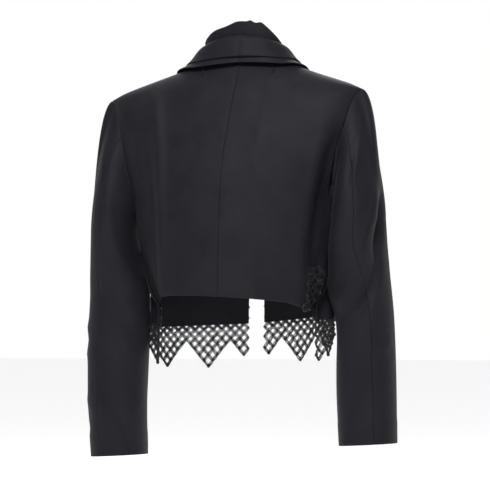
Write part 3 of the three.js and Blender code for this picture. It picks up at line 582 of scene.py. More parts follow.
def link_node(tree, kind, inputs=None, **settings):
    node = tree.nodes.new(kind)
    for key, value in settings.items():
        setattr(node, key, value)
    for key, value in (inputs or {}).items():
        if isinstance(value, bpy.types.NodeSocket):
            tree.links.new(value, node.inputs[key])
        else:
            node.inputs[key].default_value = value
    return node


def uneven_colour(tree, shader, value, low, dark, high, light):
    ramp = link_node(tree, "ShaderNodeValToRGB", {"Fac": value})
    for end, position, colour in zip(ramp.color_ramp.elements, (low, high), (dark, light)):
        end.position = position
        end.color = (*colour, 1)
    tree.links.new(ramp.outputs["Color"], shader.inputs["Base Color"])


def uneven_roughness(tree, shader, value, low, high):
    rough = link_node(tree, "ShaderNodeMapRange", {"Value": value, "To Min": low, "To Max": high})
    tree.links.new(rough.outputs["Result"], shader.inputs["Roughness"])


def spots(tree, scale, detail):
    position = link_node(tree, "ShaderNodeNewGeometry").outputs["Position"]
    return link_node(tree, "ShaderNodeTexNoise", {"Vector": position, "Scale": scale,
                                                  "Detail": detail}).outputs["Fac"]


def cloth_material(name, dark, light, bump):
    """Black worsted crepe: a fine twill with a pebbled yarn, and faint uneven depth of colour."""
    material, tree, shader = new_material(name)
    shader.inputs["Roughness"].default_value = 0.62
    shader.inputs["Specular IOR Level"].default_value = 0.08
    shader.inputs["Sheen Weight"].default_value = 0.015
    shader.inputs["Sheen Roughness"].default_value = 0.45
    shader.inputs["Sheen Tint"].default_value = (0.75, 0.74, 0.85, 1)
    uv = link_node(tree, "ShaderNodeUVMap", uv_map="grain").outputs["UV"]
    twill = link_node(tree, "ShaderNodeTexWave", {"Vector": uv, "Scale": 560.0, "Distortion": 1.2,
                                                  "Detail": 1.0, "Detail Scale": 3.0},
                      wave_type="BANDS", bands_direction="DIAGONAL")
    pebble = link_node(tree, "ShaderNodeTexNoise", {"Vector": uv, "Scale": 1500.0, "Detail": 2.0})
    cloud = link_node(tree, "ShaderNodeTexNoise", {"Vector": uv, "Scale": 16.0, "Detail": 4.0,
                                                   "Roughness": 0.6})
    weave = link_node(tree, "ShaderNodeMix", {"Factor": 0.55, "A": twill.outputs["Fac"],
                                              "B": pebble.outputs["Fac"]})
    shade = link_node(tree, "ShaderNodeMix", {"Factor": 0.35, "A": cloud.outputs["Fac"],
                                              "B": weave.outputs["Result"]})
    uneven_colour(tree, shader, shade.outputs["Result"], 0.3, dark, 0.72, light)
    fine = link_node(tree, "ShaderNodeBump", {"Height": weave.outputs["Result"], "Strength": bump,
                                              "Distance": 0.0004})
    soft = link_node(tree, "ShaderNodeBump", {"Height": cloud.outputs["Fac"], "Strength": 0.25,
                                              "Distance": 0.003, "Normal": fine.outputs["Normal"]})
    tree.links.new(soft.outputs["Normal"], shader.inputs["Normal"])
    return material


def bead_material():
    """Black glass, with each bead a little different."""
    material, tree, shader = new_material("black_glass")
    shader.inputs["Specular IOR Level"].default_value = 0.2
    shader.inputs["Coat Weight"].default_value = 0.08
    shader.inputs["Coat Roughness"].default_value = 0.05
    value = spots(tree, 420.0, 1.0)
    uneven_colour(tree, shader, value, 0.35, (0.004, 0.004, 0.005), 0.7, (0.008, 0.008, 0.009))
    uneven_roughness(tree, shader, value, 0.12, 0.4)
    return material


def thread_material():
    """Black beading thread, waxed and slightly uneven."""
    material, tree, shader = new_material("black_thread")
    shader.inputs["Specular IOR Level"].default_value = 0.3
    value = spots(tree, 900.0, 2.0)
    uneven_colour(tree, shader, value, 0, (0.003, 0.003, 0.004), 1, (0.007, 0.007, 0.008))
    uneven_roughness(tree, shader, value, 0.5, 0.8)
    return material


CLOTH = cloth_material("crepe", (0.0038, 0.0035, 0.0049), (0.0088, 0.0082, 0.0112), 0.35)
GLASS = bead_material()
THREADS = thread_material()


# Body panels
SEAMED = ("top", "left", "right")
SHOULDER_NECK = (1, place("back", NECK_ACROSS, ridge(NECK_ACROSS) - 0.01)[1])
SHOULDER_TIP = (1, SIDE)
NECK_BACK = place("back", 0, NECK_BACK_Z)
SIDE_BACK_TOP = armhole("back", SIDE_BACK_ON_ARMHOLE)
CLOTH_END = run_of_height("front", CLOTH_END_HEIGHT)
BREAK_RUN = place("front", BREAK_ACROSS, BREAK_Z)[0]


def neckline(t):
    return mix(NECK_BACK[0], 1, 1 - math.cos(t * SIDE)), SHOULDER_NECK[1] * math.sin(t * SIDE)


def hem_run(hand, angle):
    drop = SIDE_HEM_DROP[hand] * smooth(SIDE_HEM_FROM, SIDE, angle)
    return HEM_ARCH * max(math.cos(angle), 0) ** 1.5 - drop


def back_hem(hand, start, end):
    return lambda t: (hem_run(hand, mix(start, end, t)), mix(start, end, t))


def side_back(hand):
    return lambda t: (mix(hem_run(hand, SIDE_BACK_AT_HEM), SIDE_BACK_TOP[0], t),
                      mix(SIDE_BACK_AT_HEM, SIDE_BACK_TOP[1], t ** 1.6))


def centre_front(t):
    run = mix(CLOTH_END, BREAK_RUN, t)
    return run, angle_at("front", run, BREAK_ACROSS)


def front_neck(t):
    if t >= 1:
        return SHOULDER_NECK
    x = mix(BREAK_ACROSS, NECK_ACROSS, max(t, 0) ** 0.9)
    return place("front", x, mix(BREAK_Z, ridge(NECK_ACROSS), t))


def body_shell(name, face, hand, grid, seams, lift=0.0, creased=True):
    """A panel's shell at a lift above the body surface; edges on a free side keep their place."""
    outer, inner = [], []
    for line in grid:
        top, under = [], []
        for run, angle in line:
            p = body_point(face, hand, run, angle)
            normal = body_normal(face, hand, run, angle)
            crease = body_crease(face, p, run, angle) if creased else 0
            top.append(p + normal * (lift + crease))
            under.append(p + normal * (lift + crease - WALL))
        outer.append(top)
        inner.append(under)
    return shell(name, outer, inner, seams, CLOTH)


def back_panel(label, hand):
    columns = (STEPS["neck"] + STEPS["shoulder"]) * FINE
    rows = (STEPS["side"] + STEPS["armhole_back"]) * FINE
    grid = patch(
        back_hem(hand, 0, SIDE_BACK_AT_HEM),
        chain((side_back(hand), STEPS["side"]),
              (lambda t: armhole("back", mix(SIDE_BACK_ON_ARMHOLE, 0, t)), STEPS["armhole_back"])),
        chain((neckline, STEPS["neck"]), (straight(SHOULDER_NECK, SHOULDER_TIP), STEPS["shoulder"])),
        straight((HEM_ARCH, 0), NECK_BACK),
        even(columns), even(rows))
    return body_shell(f"back_{label}_cloth", "back", hand, grid, SEAMED)


def side_panel(label, hand):
    grid = patch(
        back_hem(hand, SIDE_BACK_AT_HEM, SIDE),
        straight((-SIDE_HEM_DROP[hand], SIDE), (UNDERARM_RUN, SIDE)),
        lambda t: armhole("back", mix(SIDE_BACK_ON_ARMHOLE, 1, t)),
        side_back(hand),
        even(STEPS["armhole_under"] * FINE), even(STEPS["side"] * FINE))
    return body_shell(f"side_{label}_cloth", "back", hand, grid, SEAMED)


def front_panel(label, hand):
    rows = STEPS["below"] + STEPS["side"] + STEPS["armhole_front"]
    lapel_rows = int(rows / 2 + 0.5)
    side_end = (-SIDE_HEM_DROP[hand], SIDE)
    grid = patch(
        straight(centre_front(0), (CLOTH_END, SIDE)),
        chain((straight((CLOTH_END, SIDE), side_end), STEPS["below"]),
              (straight(side_end, (UNDERARM_RUN, SIDE)), STEPS["side"]),
              (lambda t: armhole("front", 1 - t), STEPS["armhole_front"])),
        straight(SHOULDER_NECK, SHOULDER_TIP),
        chain((centre_front, rows - lapel_rows), (front_neck, lapel_rows)),
        even(STEPS["shoulder"] * FINE), even(rows * FINE))
    return body_shell(f"front_{label}_cloth", "front", hand, grid, ("top", "right"))


# Sleeves
def armhole_ring(hand):
    """Points and frames round an armhole, from the shoulder over the back and up the front."""
    places = []
    for face, start, end, steps in (
            ("back", 0, SIDE_BACK_ON_ARMHOLE, STEPS["armhole_back"] * FINE),
            ("back", SIDE_BACK_ON_ARMHOLE, 1, STEPS["armhole_under"] * FINE),
            ("front", 1, 0, STEPS["armhole_front"] * FINE)):
        places += [(face, *armhole(face, mix(start, end, k / steps))) for k in range(steps)]
    points = [body_point(face, hand, run, angle) for face, run, angle in places]
    count = len(points)
    centre = sum(points, Vector()) / count
    under = (STEPS["armhole_back"] + STEPS["armhole_under"]) * FINE
    lengths = [0]
    for k in range(count):
        lengths.append(lengths[k] + (points[k] - points[(k + 1) % count]).length)
    ring = []
    for k, (face, run, angle) in enumerate(places):
        if k <= under:
            half = lengths[k] / lengths[under] / 2
        else:
            half = 0.5 + (lengths[k] - lengths[under]) / (lengths[count] - lengths[under]) / 2
        tangent = (points[(k + 1) % count] - points[(k - 1) % count]).normalized()
        normal = body_normal(face, hand, run, angle)
        fold = (tangent * normal.dot(tangent) - normal).normalized()
        shoulder = Vector((hand * math.sin(HEAD_DOWN), 0, math.cos(HEAD_DOWN)))
        normal = normal.lerp(shoulder, 1 - smooth(0, HEAD_TURN, min(half, 1 - half) * 2 * math.pi))
        normal = (normal - tangent * normal.dot(tangent)).normalized()
        beyond = tangent.cross(normal).normalized()
        if beyond.dot(centre - points[k] + Vector((hand * 30, 0, 0))) < 0:
            beyond.negate()
        ring.append((points[k], half * 2 * math.pi, normal, beyond, fold))
    return ring


def clear_of_body(p, hand, clearance):
    """The body presses the sleeve outward where they meet."""
    z = p.z - body_tilt(p.y, p.z) * p.x
    height = (z - HEM_Z) / (ridge(p.x) - HEM_Z)
    if not PRESSED_HEIGHTS[0] <= height <= PRESSED_HEIGHTS[1]:
        return
    face = "back" if p.y >= 0 else "front"
    depth = BODY[face](height) * dome(face, height, SIDE)
    angle = math.acos(clamp(abs(p.y) / depth, 0, 1) ** (ROUNDNESS / 2))
    flare = BODY["flare"](height) * smooth(SIDE, SIDE - FLARE_ANGLE, angle) if face == "front" else 0
    half = (BODY["half"](height) + flare) * power(math.sin(angle), 2 / ROUNDNESS)
    p.x = hand * max(hand * p.x, half + clearance)


def sleeve_section(hand, z, around):
    rows = SLEEVES[hand]
    u = rows["across"](z) * power(math.cos(around), ARM_SQUARENESS)
    v = rows["deep"](z) * power(math.sin(around), ARM_SQUARENESS)
    angle = rad(rows["turn"](z))
    x = rows["x"](z) + u * math.cos(angle) - v * math.sin(angle)
    y = rows["y"](z) + u * math.sin(angle) + v * math.cos(angle)
    return Vector((hand * x, y, z + SLEEVE_TILT * hand * x))


# Sleeve creases, across in degrees round the arm from the outer side over the back
SLEEVE_CREASES = {
    1: (
        (2.5, 14, ((60, -130), (110, -262))),
        (1.4, 9, ((30, -110), (55, -175), (85, -230))),
        (-1.4, 9, ((88, -190), (128, -290), (150, -330))),
        (1.3, 8, ((-8, -400), (12, -424), (38, -436))),
        (-1.2, 8, ((-12, -424), (10, -446), (40, -458))),
        (1.1, 8, ((-16, -452), (8, -470), (34, -478))),
        (1.2, 10, ((150, -330), (126, -372), (96, -392))),
        (-1.2, 10, ((158, -352), (132, -398), (104, -420))),
        (0.9, 9, ((60, -520), (30, -548), (4, -560))),
        (-1.1, 12, ((44, -572), (24, -596), (10, -612))),
        (0.9, 10, ((160, -560), (130, -590), (112, -620))),
        (1.6, 12, ((-62, -160), (-92, -250))),
        (1.2, 10, ((-140, -350), (-112, -392), (-84, -410))),
        (-1.1, 10, ((-144, -380), (-118, -420), (-92, -440))),
        (1.0, 9, ((-40, -540), (-70, -566), (-104, -574))),
        (1.6, 10, ((176, -290), (190, -330), (212, -362))),
        (-1.3, 9, ((172, -318), (188, -356), (208, -388))),
    ),
    -1: (
        (6.5, 11, ((12, -170), (16, -215), (22, -262), (46, -320), (80, -366), (108, -402), (140, -430))),
        (-10.0, 9, ((-8, -190), (-6, -235), (0, -283), (22, -342), (58, -390), (88, -426), (118, -446))),
        (1.8, 10, ((8, -296), (26, -352), (50, -398))),
        (2.4, 7, ((26, -104), (42, -132), (58, -176), (60, -196), (46, -220))),
        (-2.2, 7, ((40, -112), (56, -138), (74, -180), (76, -214))),
        (1.5, 9, ((150, -300), (166, -340), (186, -368))),
        (-2.2, 10, ((92, -422), (124, -430), (156, -424))),
        (1.3, 9, ((6, -470), (40, -486), (76, -482))),
        (-1.1, 9, ((2, -492), (34, -508), (70, -506))),
        (0.9, 9, ((120, -520), (90, -548), (62, -556))),
        (1.0, 10, ((30, -590), (60, -606), (96, -600))),
        (1.6, 12, ((-60, -170), (-88, -250))),
        (1.4, 10, ((-142, -340), (-112, -384), (-82, -402))),
        (-1.2, 10, ((-146, -372), (-118, -412), (-90, -432))),
        (1.0, 9, ((-44, -552), (-74, -572), (-108, -578))),
    ),
}
ARC = 0.95
ROUND_ARM = {hand: creases(*((depth, wide, [(a * ARC, b) for a, b in path]) for depth, wide, path in rows))
             for hand, rows in SLEEVE_CREASES.items()}


def sleeve_crease(hand, z, around):
    across = math.degrees(around) * ARC
    total = crease_depth(ROUND_ARM[hand], across, z) + crease_depth(ROUND_ARM[hand], across - 360 * ARC, z)
    hem_top = CUFF_Z + CUFF_HEM_DEEP
    return total + HEM_STEP * (1 - smooth(hem_top - CUFF_STEP_SOFT, hem_top + CUFF_STEP_SOFT, z))


def sleeve_cloth(label, name, hand, first, last, ring):
    """A sleeve piece: the head springs from the armhole and turns down into the arm."""
    count = len(ring)
    levels = STEPS["head"] + STEPS["arm"]
    shares = even(levels * FINE)
    columns = [ring[k % count] for k in range(first * FINE, last * FINE + 1)]
    rows = SLEEVES[hand]
    outer, inner = [], []
    for share in shares:
        step = share * levels
        line, lining = [], []
        for point, around, normal, beyond, _ in columns:
            turn = min(around, 2 * math.pi - around)
            if step <= STEPS["head"]:
                t = step / STEPS["head"]
                spring = beyond * math.cos(turn) + normal * math.sin(turn)
                depth_way = beyond * math.sin(turn) - normal * math.cos(turn)
                gap = mix(HEAD_GAP, SLEEVE_GAP, smooth(*HEAD_SEAM, turn))
                start = point + beyond * (gap * math.cos(turn / 2)) + normal * (gap * math.sin(turn / 2))
                under = smooth(*UNDER_SIDE, turn)
                end = sleeve_section(hand, BICEPS_Z, around)
                top = mix(HEAD_PULL["start"], HEAD_PULL["middle"], smooth(0, FULL_HEAD, turn))
                pull_start = mix(top, HEAD_PULL["under"], under)
                pull_end = mix(ARM_PULL["start"], ARM_PULL["under"], under)
                p = Vector([hermite(start[k], spring[k] * pull_start, end[k], -pull_end if k == 2 else 0, t)
                            for k in range(3)])
                inward = Vector((hand * rows["x"](BICEPS_Z) - end.x, rows["y"](BICEPS_Z) - end.y, 0))
                way = depth_way.lerp(inward.normalized(), smooth(0, WALL_TURNED, t)).normalized()
                p -= way * (sleeve_crease(hand, p.z, around) * smooth(0, HEAD_CALM, t))
                if t > 0.05 and turn > PRESSED_FROM:
                    clear_of_body(p, hand, mix(SLEEVE_GAP, BODY_GAP, t))
            else:
                z = mix(BICEPS_Z, CUFF_Z, (step - STEPS["head"]) / STEPS["arm"])
                p = sleeve_section(hand, z, around)
                way = Vector((hand * rows["x"](z) - p.x, rows["y"](z) - p.y, 0)).normalized()
                p -= way * sleeve_crease(hand, z, around)
                clear_of_body(p, hand, BODY_GAP)
            line.append(p)
            lining.append(p + way * WALL)
        outer.append(line)
        inner.append(lining)
    return shell(f"sleeve_{label}_{name}_cloth", outer, inner, ("bottom", "left", "right"), CLOTH,
                 SLEEVE_FLANGE, [column[4] for column in columns])


# Collar layers as a section swept round the neck
def plan_point(turn, radius):
    a = rad(turn)
    return radius * math.sin(a), NECK_CENTRE_Y + radius * math.cos(a)


def under_collar(turn, radius):
    return body_height_at(*plan_point(turn, radius))


def fall(turn, start, end, drop):
    """Points from the roll to the edge, whose height above the body shrinks as they go."""
    rise = start[1] - under_collar(turn, start[0])
    rest = max(end[1] - under_collar(turn, end[0]), EDGE_RISE)
    radii = [mix(start[0], end[0], t) for t in FALL_STEPS]
    return [(radius, under_collar(turn, radius) + rest + (rise - rest) * (1 - t) ** drop)
            for t, radius in zip(FALL_STEPS, radii)]


def collar_row(turn):
    return {name: curve(abs(turn)) for name, curve in COLLAR.items()}


def upper_section(turn):
    row = collar_row(turn)
    neck, roll_z, roll = row["neck"], row["roll_z"], row["neck"] + row["roll_out"]
    seam = under_collar(turn, neck - 3) + 2.4 - STAND_DEEP * (1 - smooth(52, 78, abs(turn)))
    return [(neck - 1, seam), (neck - 0.5, mix(seam, roll_z, 0.5)), (roll - 3.5, roll_z - 4),
            (roll + 1, roll_z), *fall(turn, (roll + 6, roll_z - 4), (row["edge"], row["edge_z"]), 1.3)]


def lower_section(turn):
    row = collar_row(turn)
    neck = row["neck"]
    seam = under_collar(turn, neck + 3) + 3
    roll_z = max(row["roll_z"] - 9, seam + 3)
    return [(neck + 3, seam), (neck + 3.4, roll_z - 2), (neck + 5, roll_z),
            *fall(turn, (neck + 7, roll_z - 2.5), (row["lower"], row["lower_z"]), 2.2)]


def band_section(turn):
    neck = collar_row(turn)["neck"] - 3.8
    seam = under_collar(turn, neck + 3) + 4
    top = max(BAND_TOP(turn), seam + 6)
    return [(neck, seam), (neck, mix(seam, top, 0.4)), (neck + 0.6, mix(seam, top, 0.75)), (neck + 2, top)]


def spline(points, t):
    """Point and direction on a smooth curve through a section's corners."""
    count = len(points) - 1
    place_on = clamp(t, 0, 1) * count
    k = min(int(place_on), count - 1)
    f = place_on - k
    p0, p1, p2, p3 = (points[clamp(k + d, 0, count)] for d in (-1, 0, 1, 2))
    value, slope = [], []
    for a, b, c, d in zip(p0, p1, p2, p3):
        v0, v1 = (c - a) / 2, (d - b) / 2
        value.append(b + v0 * f + (-3 * b + 3 * c - 2 * v0 - v1) * f * f + (2 * b - 2 * c + v0 + v1) * f ** 3)
        slope.append(v0 + 2 * (-3 * b + 3 * c - 2 * v0 - v1) * f + 3 * (2 * b - 2 * c + v0 + v1) * f * f)
    size = math.hypot(*slope)
    return value, (slope[0] / size, slope[1] / size)


# Uneven lie of the collar layers: height and radius, by the turn round the neck
def upper_lie(turn, t):
    lie = 1.1 * math.sin(rad(turn) * 3.1 + 0.6) * smooth(0.3, 0.6, t)
    lie += 0.7 * math.sin(rad(turn) * 7.3 + 2.2) * smooth(0.5, 1, t)
    dimple = math.exp(-((turn + 18) / 9) ** 2 - ((t - 0.52) / 0.1) ** 2)
    return lie * 0.4, -2.2 * dimple


def lower_lie(turn, t):
    return 0.4 * math.sin(rad(turn) * 6.1 + 1.4) * smooth(0.6, 1, t), 0


def band_lie(turn, t):
    lump = 2.2 * math.exp(-((turn + 26) / 7) ** 2) + 2.4 * math.exp(-((turn + 50) / 7) ** 2)
    lump -= 1.5 * math.exp(-((turn + 38) / 6) ** 2) - 0.8 * math.sin(rad(turn) * 6 + 0.5)
    return -0.5 * math.sin(rad(turn) * 5) * t, lump * smooth(0.45, 1, t)


def swept_collar(name, section, limit, steps, lie):
    outer, inner = [], []
    for share in even(steps * FINE):
        turn = mix(-limit, limit, share)
        corners = section(turn)
        line, lining = [], []
        for t in even(STEPS["section"] * FINE // 2):
            (radius, z), (dr, dz) = spline(corners, t)
            wave, rise = lie(turn, t)
            radius += wave * -dz * -1
            z += rise + wave * dr
            for out, keep in ((line, 0), (lining, WALL)):
                out.append(stance(*plan_point(turn, radius - dz * keep), z + dr * keep))
        outer.append(line)
        inner.append(lining)
    return shell(name, outer, inner, (), CLOTH)


# Lapels
def lapel(label, name, hand):
    reach, lift = LAPEL_REACH[name], LAPEL_LIFT[name]
    neck = collar_row(GORGE_TURN)["neck"]

    def top(u):
        x, y = plan_point(GORGE_TURN, mix(neck, reach, u))
        return place("front", x, body_height_at(x, y))
    corner_x, corner_y = plan_point(GORGE_TURN, reach)
    corner_z = body_height_at(corner_x, corner_y)
    roll_x, roll_y = plan_point(GORGE_TURN, neck)
    roll_end = (body_height_at(roll_x, roll_y) - BREAK_Z) / (ridge(NECK_ACROSS) - BREAK_Z)

    def start(u):
        return place("front", BREAK_ACROSS + LAPEL_START * u, BREAK_Z)

    def edge(t):
        if t <= 0:
            return start(1)
        if t >= 1:
            return top(1)
        t = LAPEL_TAPER + (1 - LAPEL_TAPER) * t
        x = mix(BREAK_ACROSS, corner_x, t) + LAPEL_BELLY * math.sin(math.pi * t) * t
        return place("front", x, mix(BREAK_Z, corner_z, t))

    def roll(t):
        return top(0) if t >= 1 else front_neck(roll_end * t)
    grid = patch(start, edge, top, roll, even(STEPS["lapel_across"] * FINE),
                 even(STEPS["lapel_along"] * FINE // 2))
    return body_shell(f"lapel_{label}_{name}_cloth", "front", hand, grid, (), lift, creased=False)


# Beadwork
BEAD = 1.25
BEAD_PITCH = 2.6
LANES = 3
LANE_WIDE = 2.1
KNOT_BEAD = 2.3
TIP_BEAD = 2.9
THREAD = 0.45
CLOTH_ROWS = 11
SIDE_COLUMNS = {1: 1, -1: 5}
SIDE_ROWS = 3
SIDE_LANES = 5
SIDE_PITCH = rad(4.6)
CLOTH_ROW = 8.6
CLOTH_LIFT = 1.0
NET_LIFT = -1.1
CLOTH_LANES = 2
WANDER = 0.4
BEAD_SIZES = (0.86, 1.12)
LANE_RAISED = 0.5
LANES_AT_KNOT = 0.45
NET_MIDDLE = -0.2
ARC_STEPS = 200
SEEDS = {"net": {1: 11, -1: 12}, "cloth": {1: 21, -1: 22}}


def net_angles():
    """Angles at even shares of the arc from the side seam to the centre front."""
    run = run_of_height("front", NET_MIDDLE)
    last = centre_front(0)[1]
    angles = np.linspace(SIDE, last, ARC_STEPS)
    points = np.array([body_plain("front", run, a)[:2] for a in angles])
    lengths = np.concatenate([[0], np.cumsum(np.linalg.norm(np.diff(points, axis=0), axis=1))])
    return lengths / lengths[-1], angles


NET_SHARES, NET_ANGLES = net_angles()


def net_point(hand, i, j, lift):
    """Point of the beadwork: i half diamonds from the side seam, j half diamonds down from the
    cloth's end, or up over the cloth where j is negative."""
    face = "front" if i >= 0 else "back"
    angle = float(np.interp(clamp(i / NET_COLUMNS, 0, 1), NET_SHARES, NET_ANGLES))
    if i < 0:
        angle = SIDE + i * SIDE_PITCH
    drop = SEAM_GAP + j * CLOTH_ROW
    if j >= 0:
        whole = int(j)
        drop = SEAM_GAP + sum(NET_ROWS[:whole])
        if j > whole:
            drop += (j - whole) * NET_ROWS[whole]
    run = run_of_height(face, CLOTH_END_HEIGHT - drop / (ridge(NET_WAIST_Z) - HEM_Z))
    point = body_point(face, hand, run, angle)
    crease = body_crease(face, point, run, angle) * smooth(2, -1, j)
    return point + body_normal(face, hand, run, angle) * (lift + crease)


def in_point(i, j):
    return abs((i + NET_POINT_FROM) % NET_POINT - NET_POINT / 2) <= NET_POINT / 2 - (j - NET_STRAIGHT)


def lattice(first, last, start=1, end=NET_COLUMNS):
    """Strands of a stretch of diamonds, as pairs of crossings."""
    strands = set()
    for j in range(first, last + 1):
        for i in range(start, end):
            if (i + j) % 2 == 0 and (j <= NET_STRAIGHT or in_point(i, j)):
                around = [(i, j - 1), (i + 1, j), (i, j + 1), (i - 1, j)]
                for k in range(4):
                    strands.add(tuple(sorted((around[k], around[(k + 1) % 4]), key=lambda p: p[1])))
    return sorted(strands)


def ball(sides, rings):
    """Unit bead: corners and faces."""
    points = [(0, 0, 1)]
    for r in range(1, rings):
        tall = math.pi * r / rings
        points += [(math.sin(tall) * math.cos(2 * math.pi * s / sides),
                    math.sin(tall) * math.sin(2 * math.pi * s / sides), math.cos(tall)) for s in range(sides)]
    points.append((0, 0, -1))
    faces = [(0, 1 + s, 1 + (s + 1) % sides) for s in range(sides)]
    for r in range(rings - 2):
        a, b = 1 + r * sides, 1 + (r + 1) * sides
        faces += [(a + s, b + s, b + (s + 1) % sides, a + (s + 1) % sides) for s in range(sides)]
    a, end = 1 + (rings - 2) * sides, len(points) - 1
    faces += [(end, a + (s + 1) % sides, a + s) for s in range(sides)]
    return np.array(points), faces


SEED_BALL = ball(6, 4)
KNOT_BALL = ball(8, 6)


class Joined:
    """Points and faces of many small forms, for one mesh."""

    def __init__(self):
        self.points, self.faces, self.count = [], [], 0

    def add(self, points, faces):
        self.points.append(points)
        self.faces += [[v + self.count for v in face] for face in faces]
        self.count += len(points)

    def finish(self, name, material):
        return mesh_object(name, np.concatenate(self.points), self.faces, material)


class Beadwork:
    """Beads and the threads that they are strung on."""

    def __init__(self, seed):
        self.beads, self.threads = Joined(), Joined()
        self.random = random.Random(seed)

    def bead(self, centre, radius, shape=SEED_BALL, along=None, length=1.0):
        corners, faces = shape
        size = radius * self.random.uniform(*BEAD_SIZES)
        turn = self.random.uniform(0, math.pi)
        c, s = math.cos(turn), math.sin(turn)
        corners = corners @ np.array([[c, s, 0], [-s, c, 0], [0, 0, length]])
        if along is not None:
            corners = corners @ np.array(along.to_track_quat("Z", "Y").to_matrix()).T
        self.beads.add(corners * size + np.array(centre), faces)

    def thread(self, a, b):
        way = (b - a).normalized()
        side = way.orthogonal().normalized()
        other = way.cross(side)
        ring = [side, other, -side, -other]
        points = [p + r * THREAD for p in (a, b) for r in ring]
        faces = [(k, (k + 1) % 4, 4 + (k + 1) % 4, 4 + k) for k in range(4)]
        self.threads.add(np.array([tuple(p) for p in points]), [*faces, (3, 2, 1, 0), (4, 5, 6, 7)])

    def finish(self, threads_name, beads_name):
        return [self.threads.finish(threads_name, THREADS), self.beads.finish(beads_name, GLASS)]


def string_beads(work, hand, strand, lift, lanes):
    """Lanes of seed beads along one strand, each on its own thread."""
    (i, j), (k, m) = strand
    ends = [net_point(hand, i, j, lift), net_point(hand, k, m, lift)]
    way = (ends[1] - ends[0]).normalized()
    out = net_point(hand, i, j, lift + 1) - ends[0]
    side = way.cross(out).normalized()
    count = max(2, round((ends[1] - ends[0]).length / BEAD_PITCH))
    row = [net_point(hand, mix(i, k, n / count), mix(j, m, n / count), lift) for n in range(count + 1)]
    for lane in range(lanes):
        off = (lane - (lanes - 1) / 2) * LANE_WIDE
        before = None
        for n, p in enumerate(row):
            spread = math.sin(math.pi * n / count) ** 0.5
            wander = Vector([work.random.uniform(-WANDER, WANDER) for _ in range(3)])
            p = p + side * (off * mix(LANES_AT_KNOT, 1, spread)) + wander + out * (LANE_RAISED * (lane % 2))
            if before is not None:
                work.thread(before, p)
                work.bead((before + p) / 2, BEAD, along=(p - before).normalized(), length=1.05)
            before = p


def net(label, hand):
    work = Beadwork(SEEDS["net"][hand])
    strands = lattice(1, len(NET_ROWS))
    crossings = sorted({p for strand in strands for p in strand})
    for strand in strands:
        string_beads(work, hand, strand, NET_LIFT, LANES)
    lowest = {i: max(j for k, j in crossings if k == i) for i, _ in crossings}
    for i, j in crossings:
        radius = TIP_BEAD if j == lowest[i] and j > NET_STRAIGHT else KNOT_BEAD
        work.bead(net_point(hand, i, j, NET_LIFT), radius, KNOT_BALL)
    return work.finish(f"net_{label}_threads", f"net_{label}_beads")


def cloth_beads(label, hand):
    """Beadwork over the foot of the front, in the net's own diamonds, with a bead in each."""
    work = Beadwork(SEEDS["cloth"][hand])
    strands = lattice(1 - CLOTH_ROWS, 0)
    strands += lattice(1 - CLOTH_ROWS, -SIDE_ROWS - 1, 1 - SIDE_COLUMNS[hand], 0)
    crossings = sorted({p for strand in strands for p in strand})
    for strand in strands:
        at_side = min(strand[0][0], strand[1][0]) < 0
        string_beads(work, hand, strand, CLOTH_LIFT, SIDE_LANES if at_side else CLOTH_LANES)
    for i, j in crossings:
        work.bead(net_point(hand, i, j, CLOTH_LIFT), KNOT_BEAD * 0.9, KNOT_BALL)
    return work.finish(f"front_{label}_threads", f"front_{label}_beadwork")


# Pieces, each with the solid it stands for
def declare(piece, node):
    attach(piece, "root")
    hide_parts(node)


UPPER_SLEEVE_STEPS = 5
ARMHOLE_STEPS = STEPS["armhole_back"] + STEPS["armhole_under"] + STEPS["armhole_front"]

for label, hand in (("left", 1), ("right", -1)):
    ring = armhole_ring(hand)
    edge, far_edge = UPPER_SLEEVE_STEPS, ARMHOLE_STEPS - UPPER_SLEEVE_STEPS
    beadwork = cloth_beads(label, hand)
    netting, net_beads = net(label, hand)
    for strung in (*beadwork, net_beads):
        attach(strung, "root")
    declare(back_panel(label, hand), f"back_{label}")
    declare(side_panel(label, hand), f"side_{label}")
    declare(front_panel(label, hand), f"front_{label}")
    for name, first, last in (("upper", -edge, edge), ("under", edge, far_edge)):
        declare(sleeve_cloth(label, name, hand, first, last, ring), f"sleeve_{label}_{name}")
    for name, below in (("lower", f"front_{label}"), ("upper", f"lapel_{label}_lower")):
        declare(lapel(label, name, hand), f"lapel_{label}_{name}")
    declare(netting, f"net_{label}")

for name, section, limit, steps, lie in (
        ("collar_upper", upper_section, COLLAR_REACH, STEPS["collar"], upper_lie),
        ("collar_lower", lower_section, COLLAR_REACH, STEPS["collar"], lower_lie),
        ("collar_band", band_section, BAND_REACH, STEPS["band"], band_lie)):
    declare(swept_collar(f"{name}_cloth", section, limit, steps, lie), name)


# Stage, light and camera
FLOOR_Z = -0.80
FLOOR_SIZE = 30.0
WORLD_BEHIND = 1.0
WORLD_BESIDE = 0.35
WORLD_TURN = (-0.55, 0.1)
LIGHTS = (
    ("key", 190, 46, 3.2, 1.2, 165),
    ("fill", 195, 4, 3.6, 1.6, 14),
    ("front_light", 12, 45, 3.2, 1.8, 90),
)


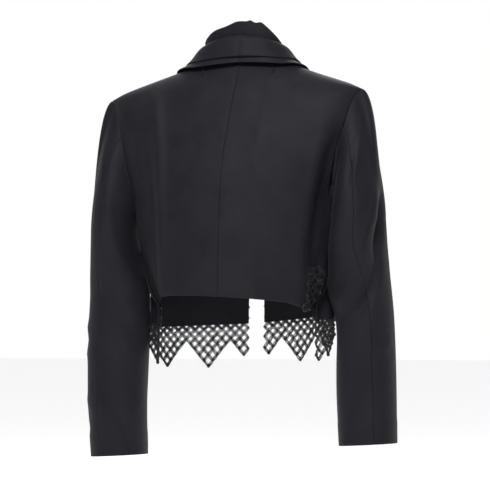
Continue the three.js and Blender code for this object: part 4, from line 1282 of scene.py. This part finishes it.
def stage():
    half = FLOOR_SIZE / 2
    mesh = bpy.data.meshes.new("floor")
    mesh.from_pydata([(-half, -half, FLOOR_Z), (half, -half, FLOOR_Z), (half, half, FLOOR_Z),
                      (-half, half, FLOOR_Z)], [], [(0, 1, 2, 3)])
    material, tree, shader = new_material("pale_floor")
    shader.inputs["Roughness"].default_value = 0.9
    shader.inputs["Specular IOR Level"].default_value = 0.0
    shader.inputs["Base Color"].default_value = (0.8, 0.8, 0.8, 1)
    shader.inputs["Emission Color"].default_value = (1, 1, 1, 1)
    shader.inputs["Emission Strength"].default_value = 0.45
    mesh.materials.append(material)
    floor = bpy.data.objects.new("floor", mesh)
    bpy.context.scene.collection.objects.link(floor)


def toward(azimuth, elevation):
    return Vector((math.sin(azimuth) * math.cos(elevation), -math.cos(azimuth) * math.cos(elevation),
                   math.sin(elevation)))


def area_light(name, azimuth, elevation, distance, size, watts):
    data = bpy.data.lights.new(name, "AREA")
    data.shape = "DISK"
    data.size = size
    data.energy = watts
    lamp = bpy.data.objects.new(name, data)
    centre = Vector((0, 0, FRAME_CENTRE_Z))
    lamp.location = centre + toward(rad(azimuth), rad(elevation)) * distance
    lamp.rotation_euler = (lamp.location - centre).to_track_quat("Z", "Y").to_euler()
    bpy.context.scene.collection.objects.link(lamp)


def camera():
    data = bpy.data.cameras.new("camera")
    data.sensor_width = SENSOR
    data.lens = SENSOR * CAMERA_DISTANCE / FRAME_WIDE
    eye = bpy.data.objects.new("camera", data)
    right = Vector((math.cos(CAMERA_AZIMUTH), math.sin(CAMERA_AZIMUTH), 0))
    centre = right * FRAME_CENTRE_RIGHT + Vector((0, 0, FRAME_CENTRE_Z))
    back = toward(CAMERA_AZIMUTH, 0)
    eye.location = centre + back * CAMERA_DISTANCE
    eye.rotation_euler = back.to_track_quat("Z", "Y").to_euler()
    bpy.context.scene.collection.objects.link(eye)
    bpy.context.scene.camera = eye


def studio():
    """A white world, dimmer on the photographer's side so that the dark cloth stays dark."""
    world = bpy.data.worlds.new("studio")
    world.use_nodes = True
    sky = world.node_tree
    direction = link_node(sky, "ShaderNodeTexCoord").outputs["Generated"]
    way = link_node(sky, "ShaderNodeSeparateXYZ", {"Vector": direction})
    dim = link_node(sky, "ShaderNodeMapRange", {
        "Value": way.outputs["Y"], "From Min": WORLD_TURN[0], "From Max": WORLD_TURN[1],
        "To Min": WORLD_BEHIND, "To Max": WORLD_BESIDE})
    sky.links.new(dim.outputs["Result"], sky.nodes["Background"].inputs["Strength"])
    sky.nodes["Background"].inputs["Color"].default_value = (1, 1, 1, 1)
    bpy.context.scene.world = world


stage()
camera()
for row in LIGHTS:
    area_light(*row)
studio()
bpy.context.scene.view_settings.view_transform = "Standard"
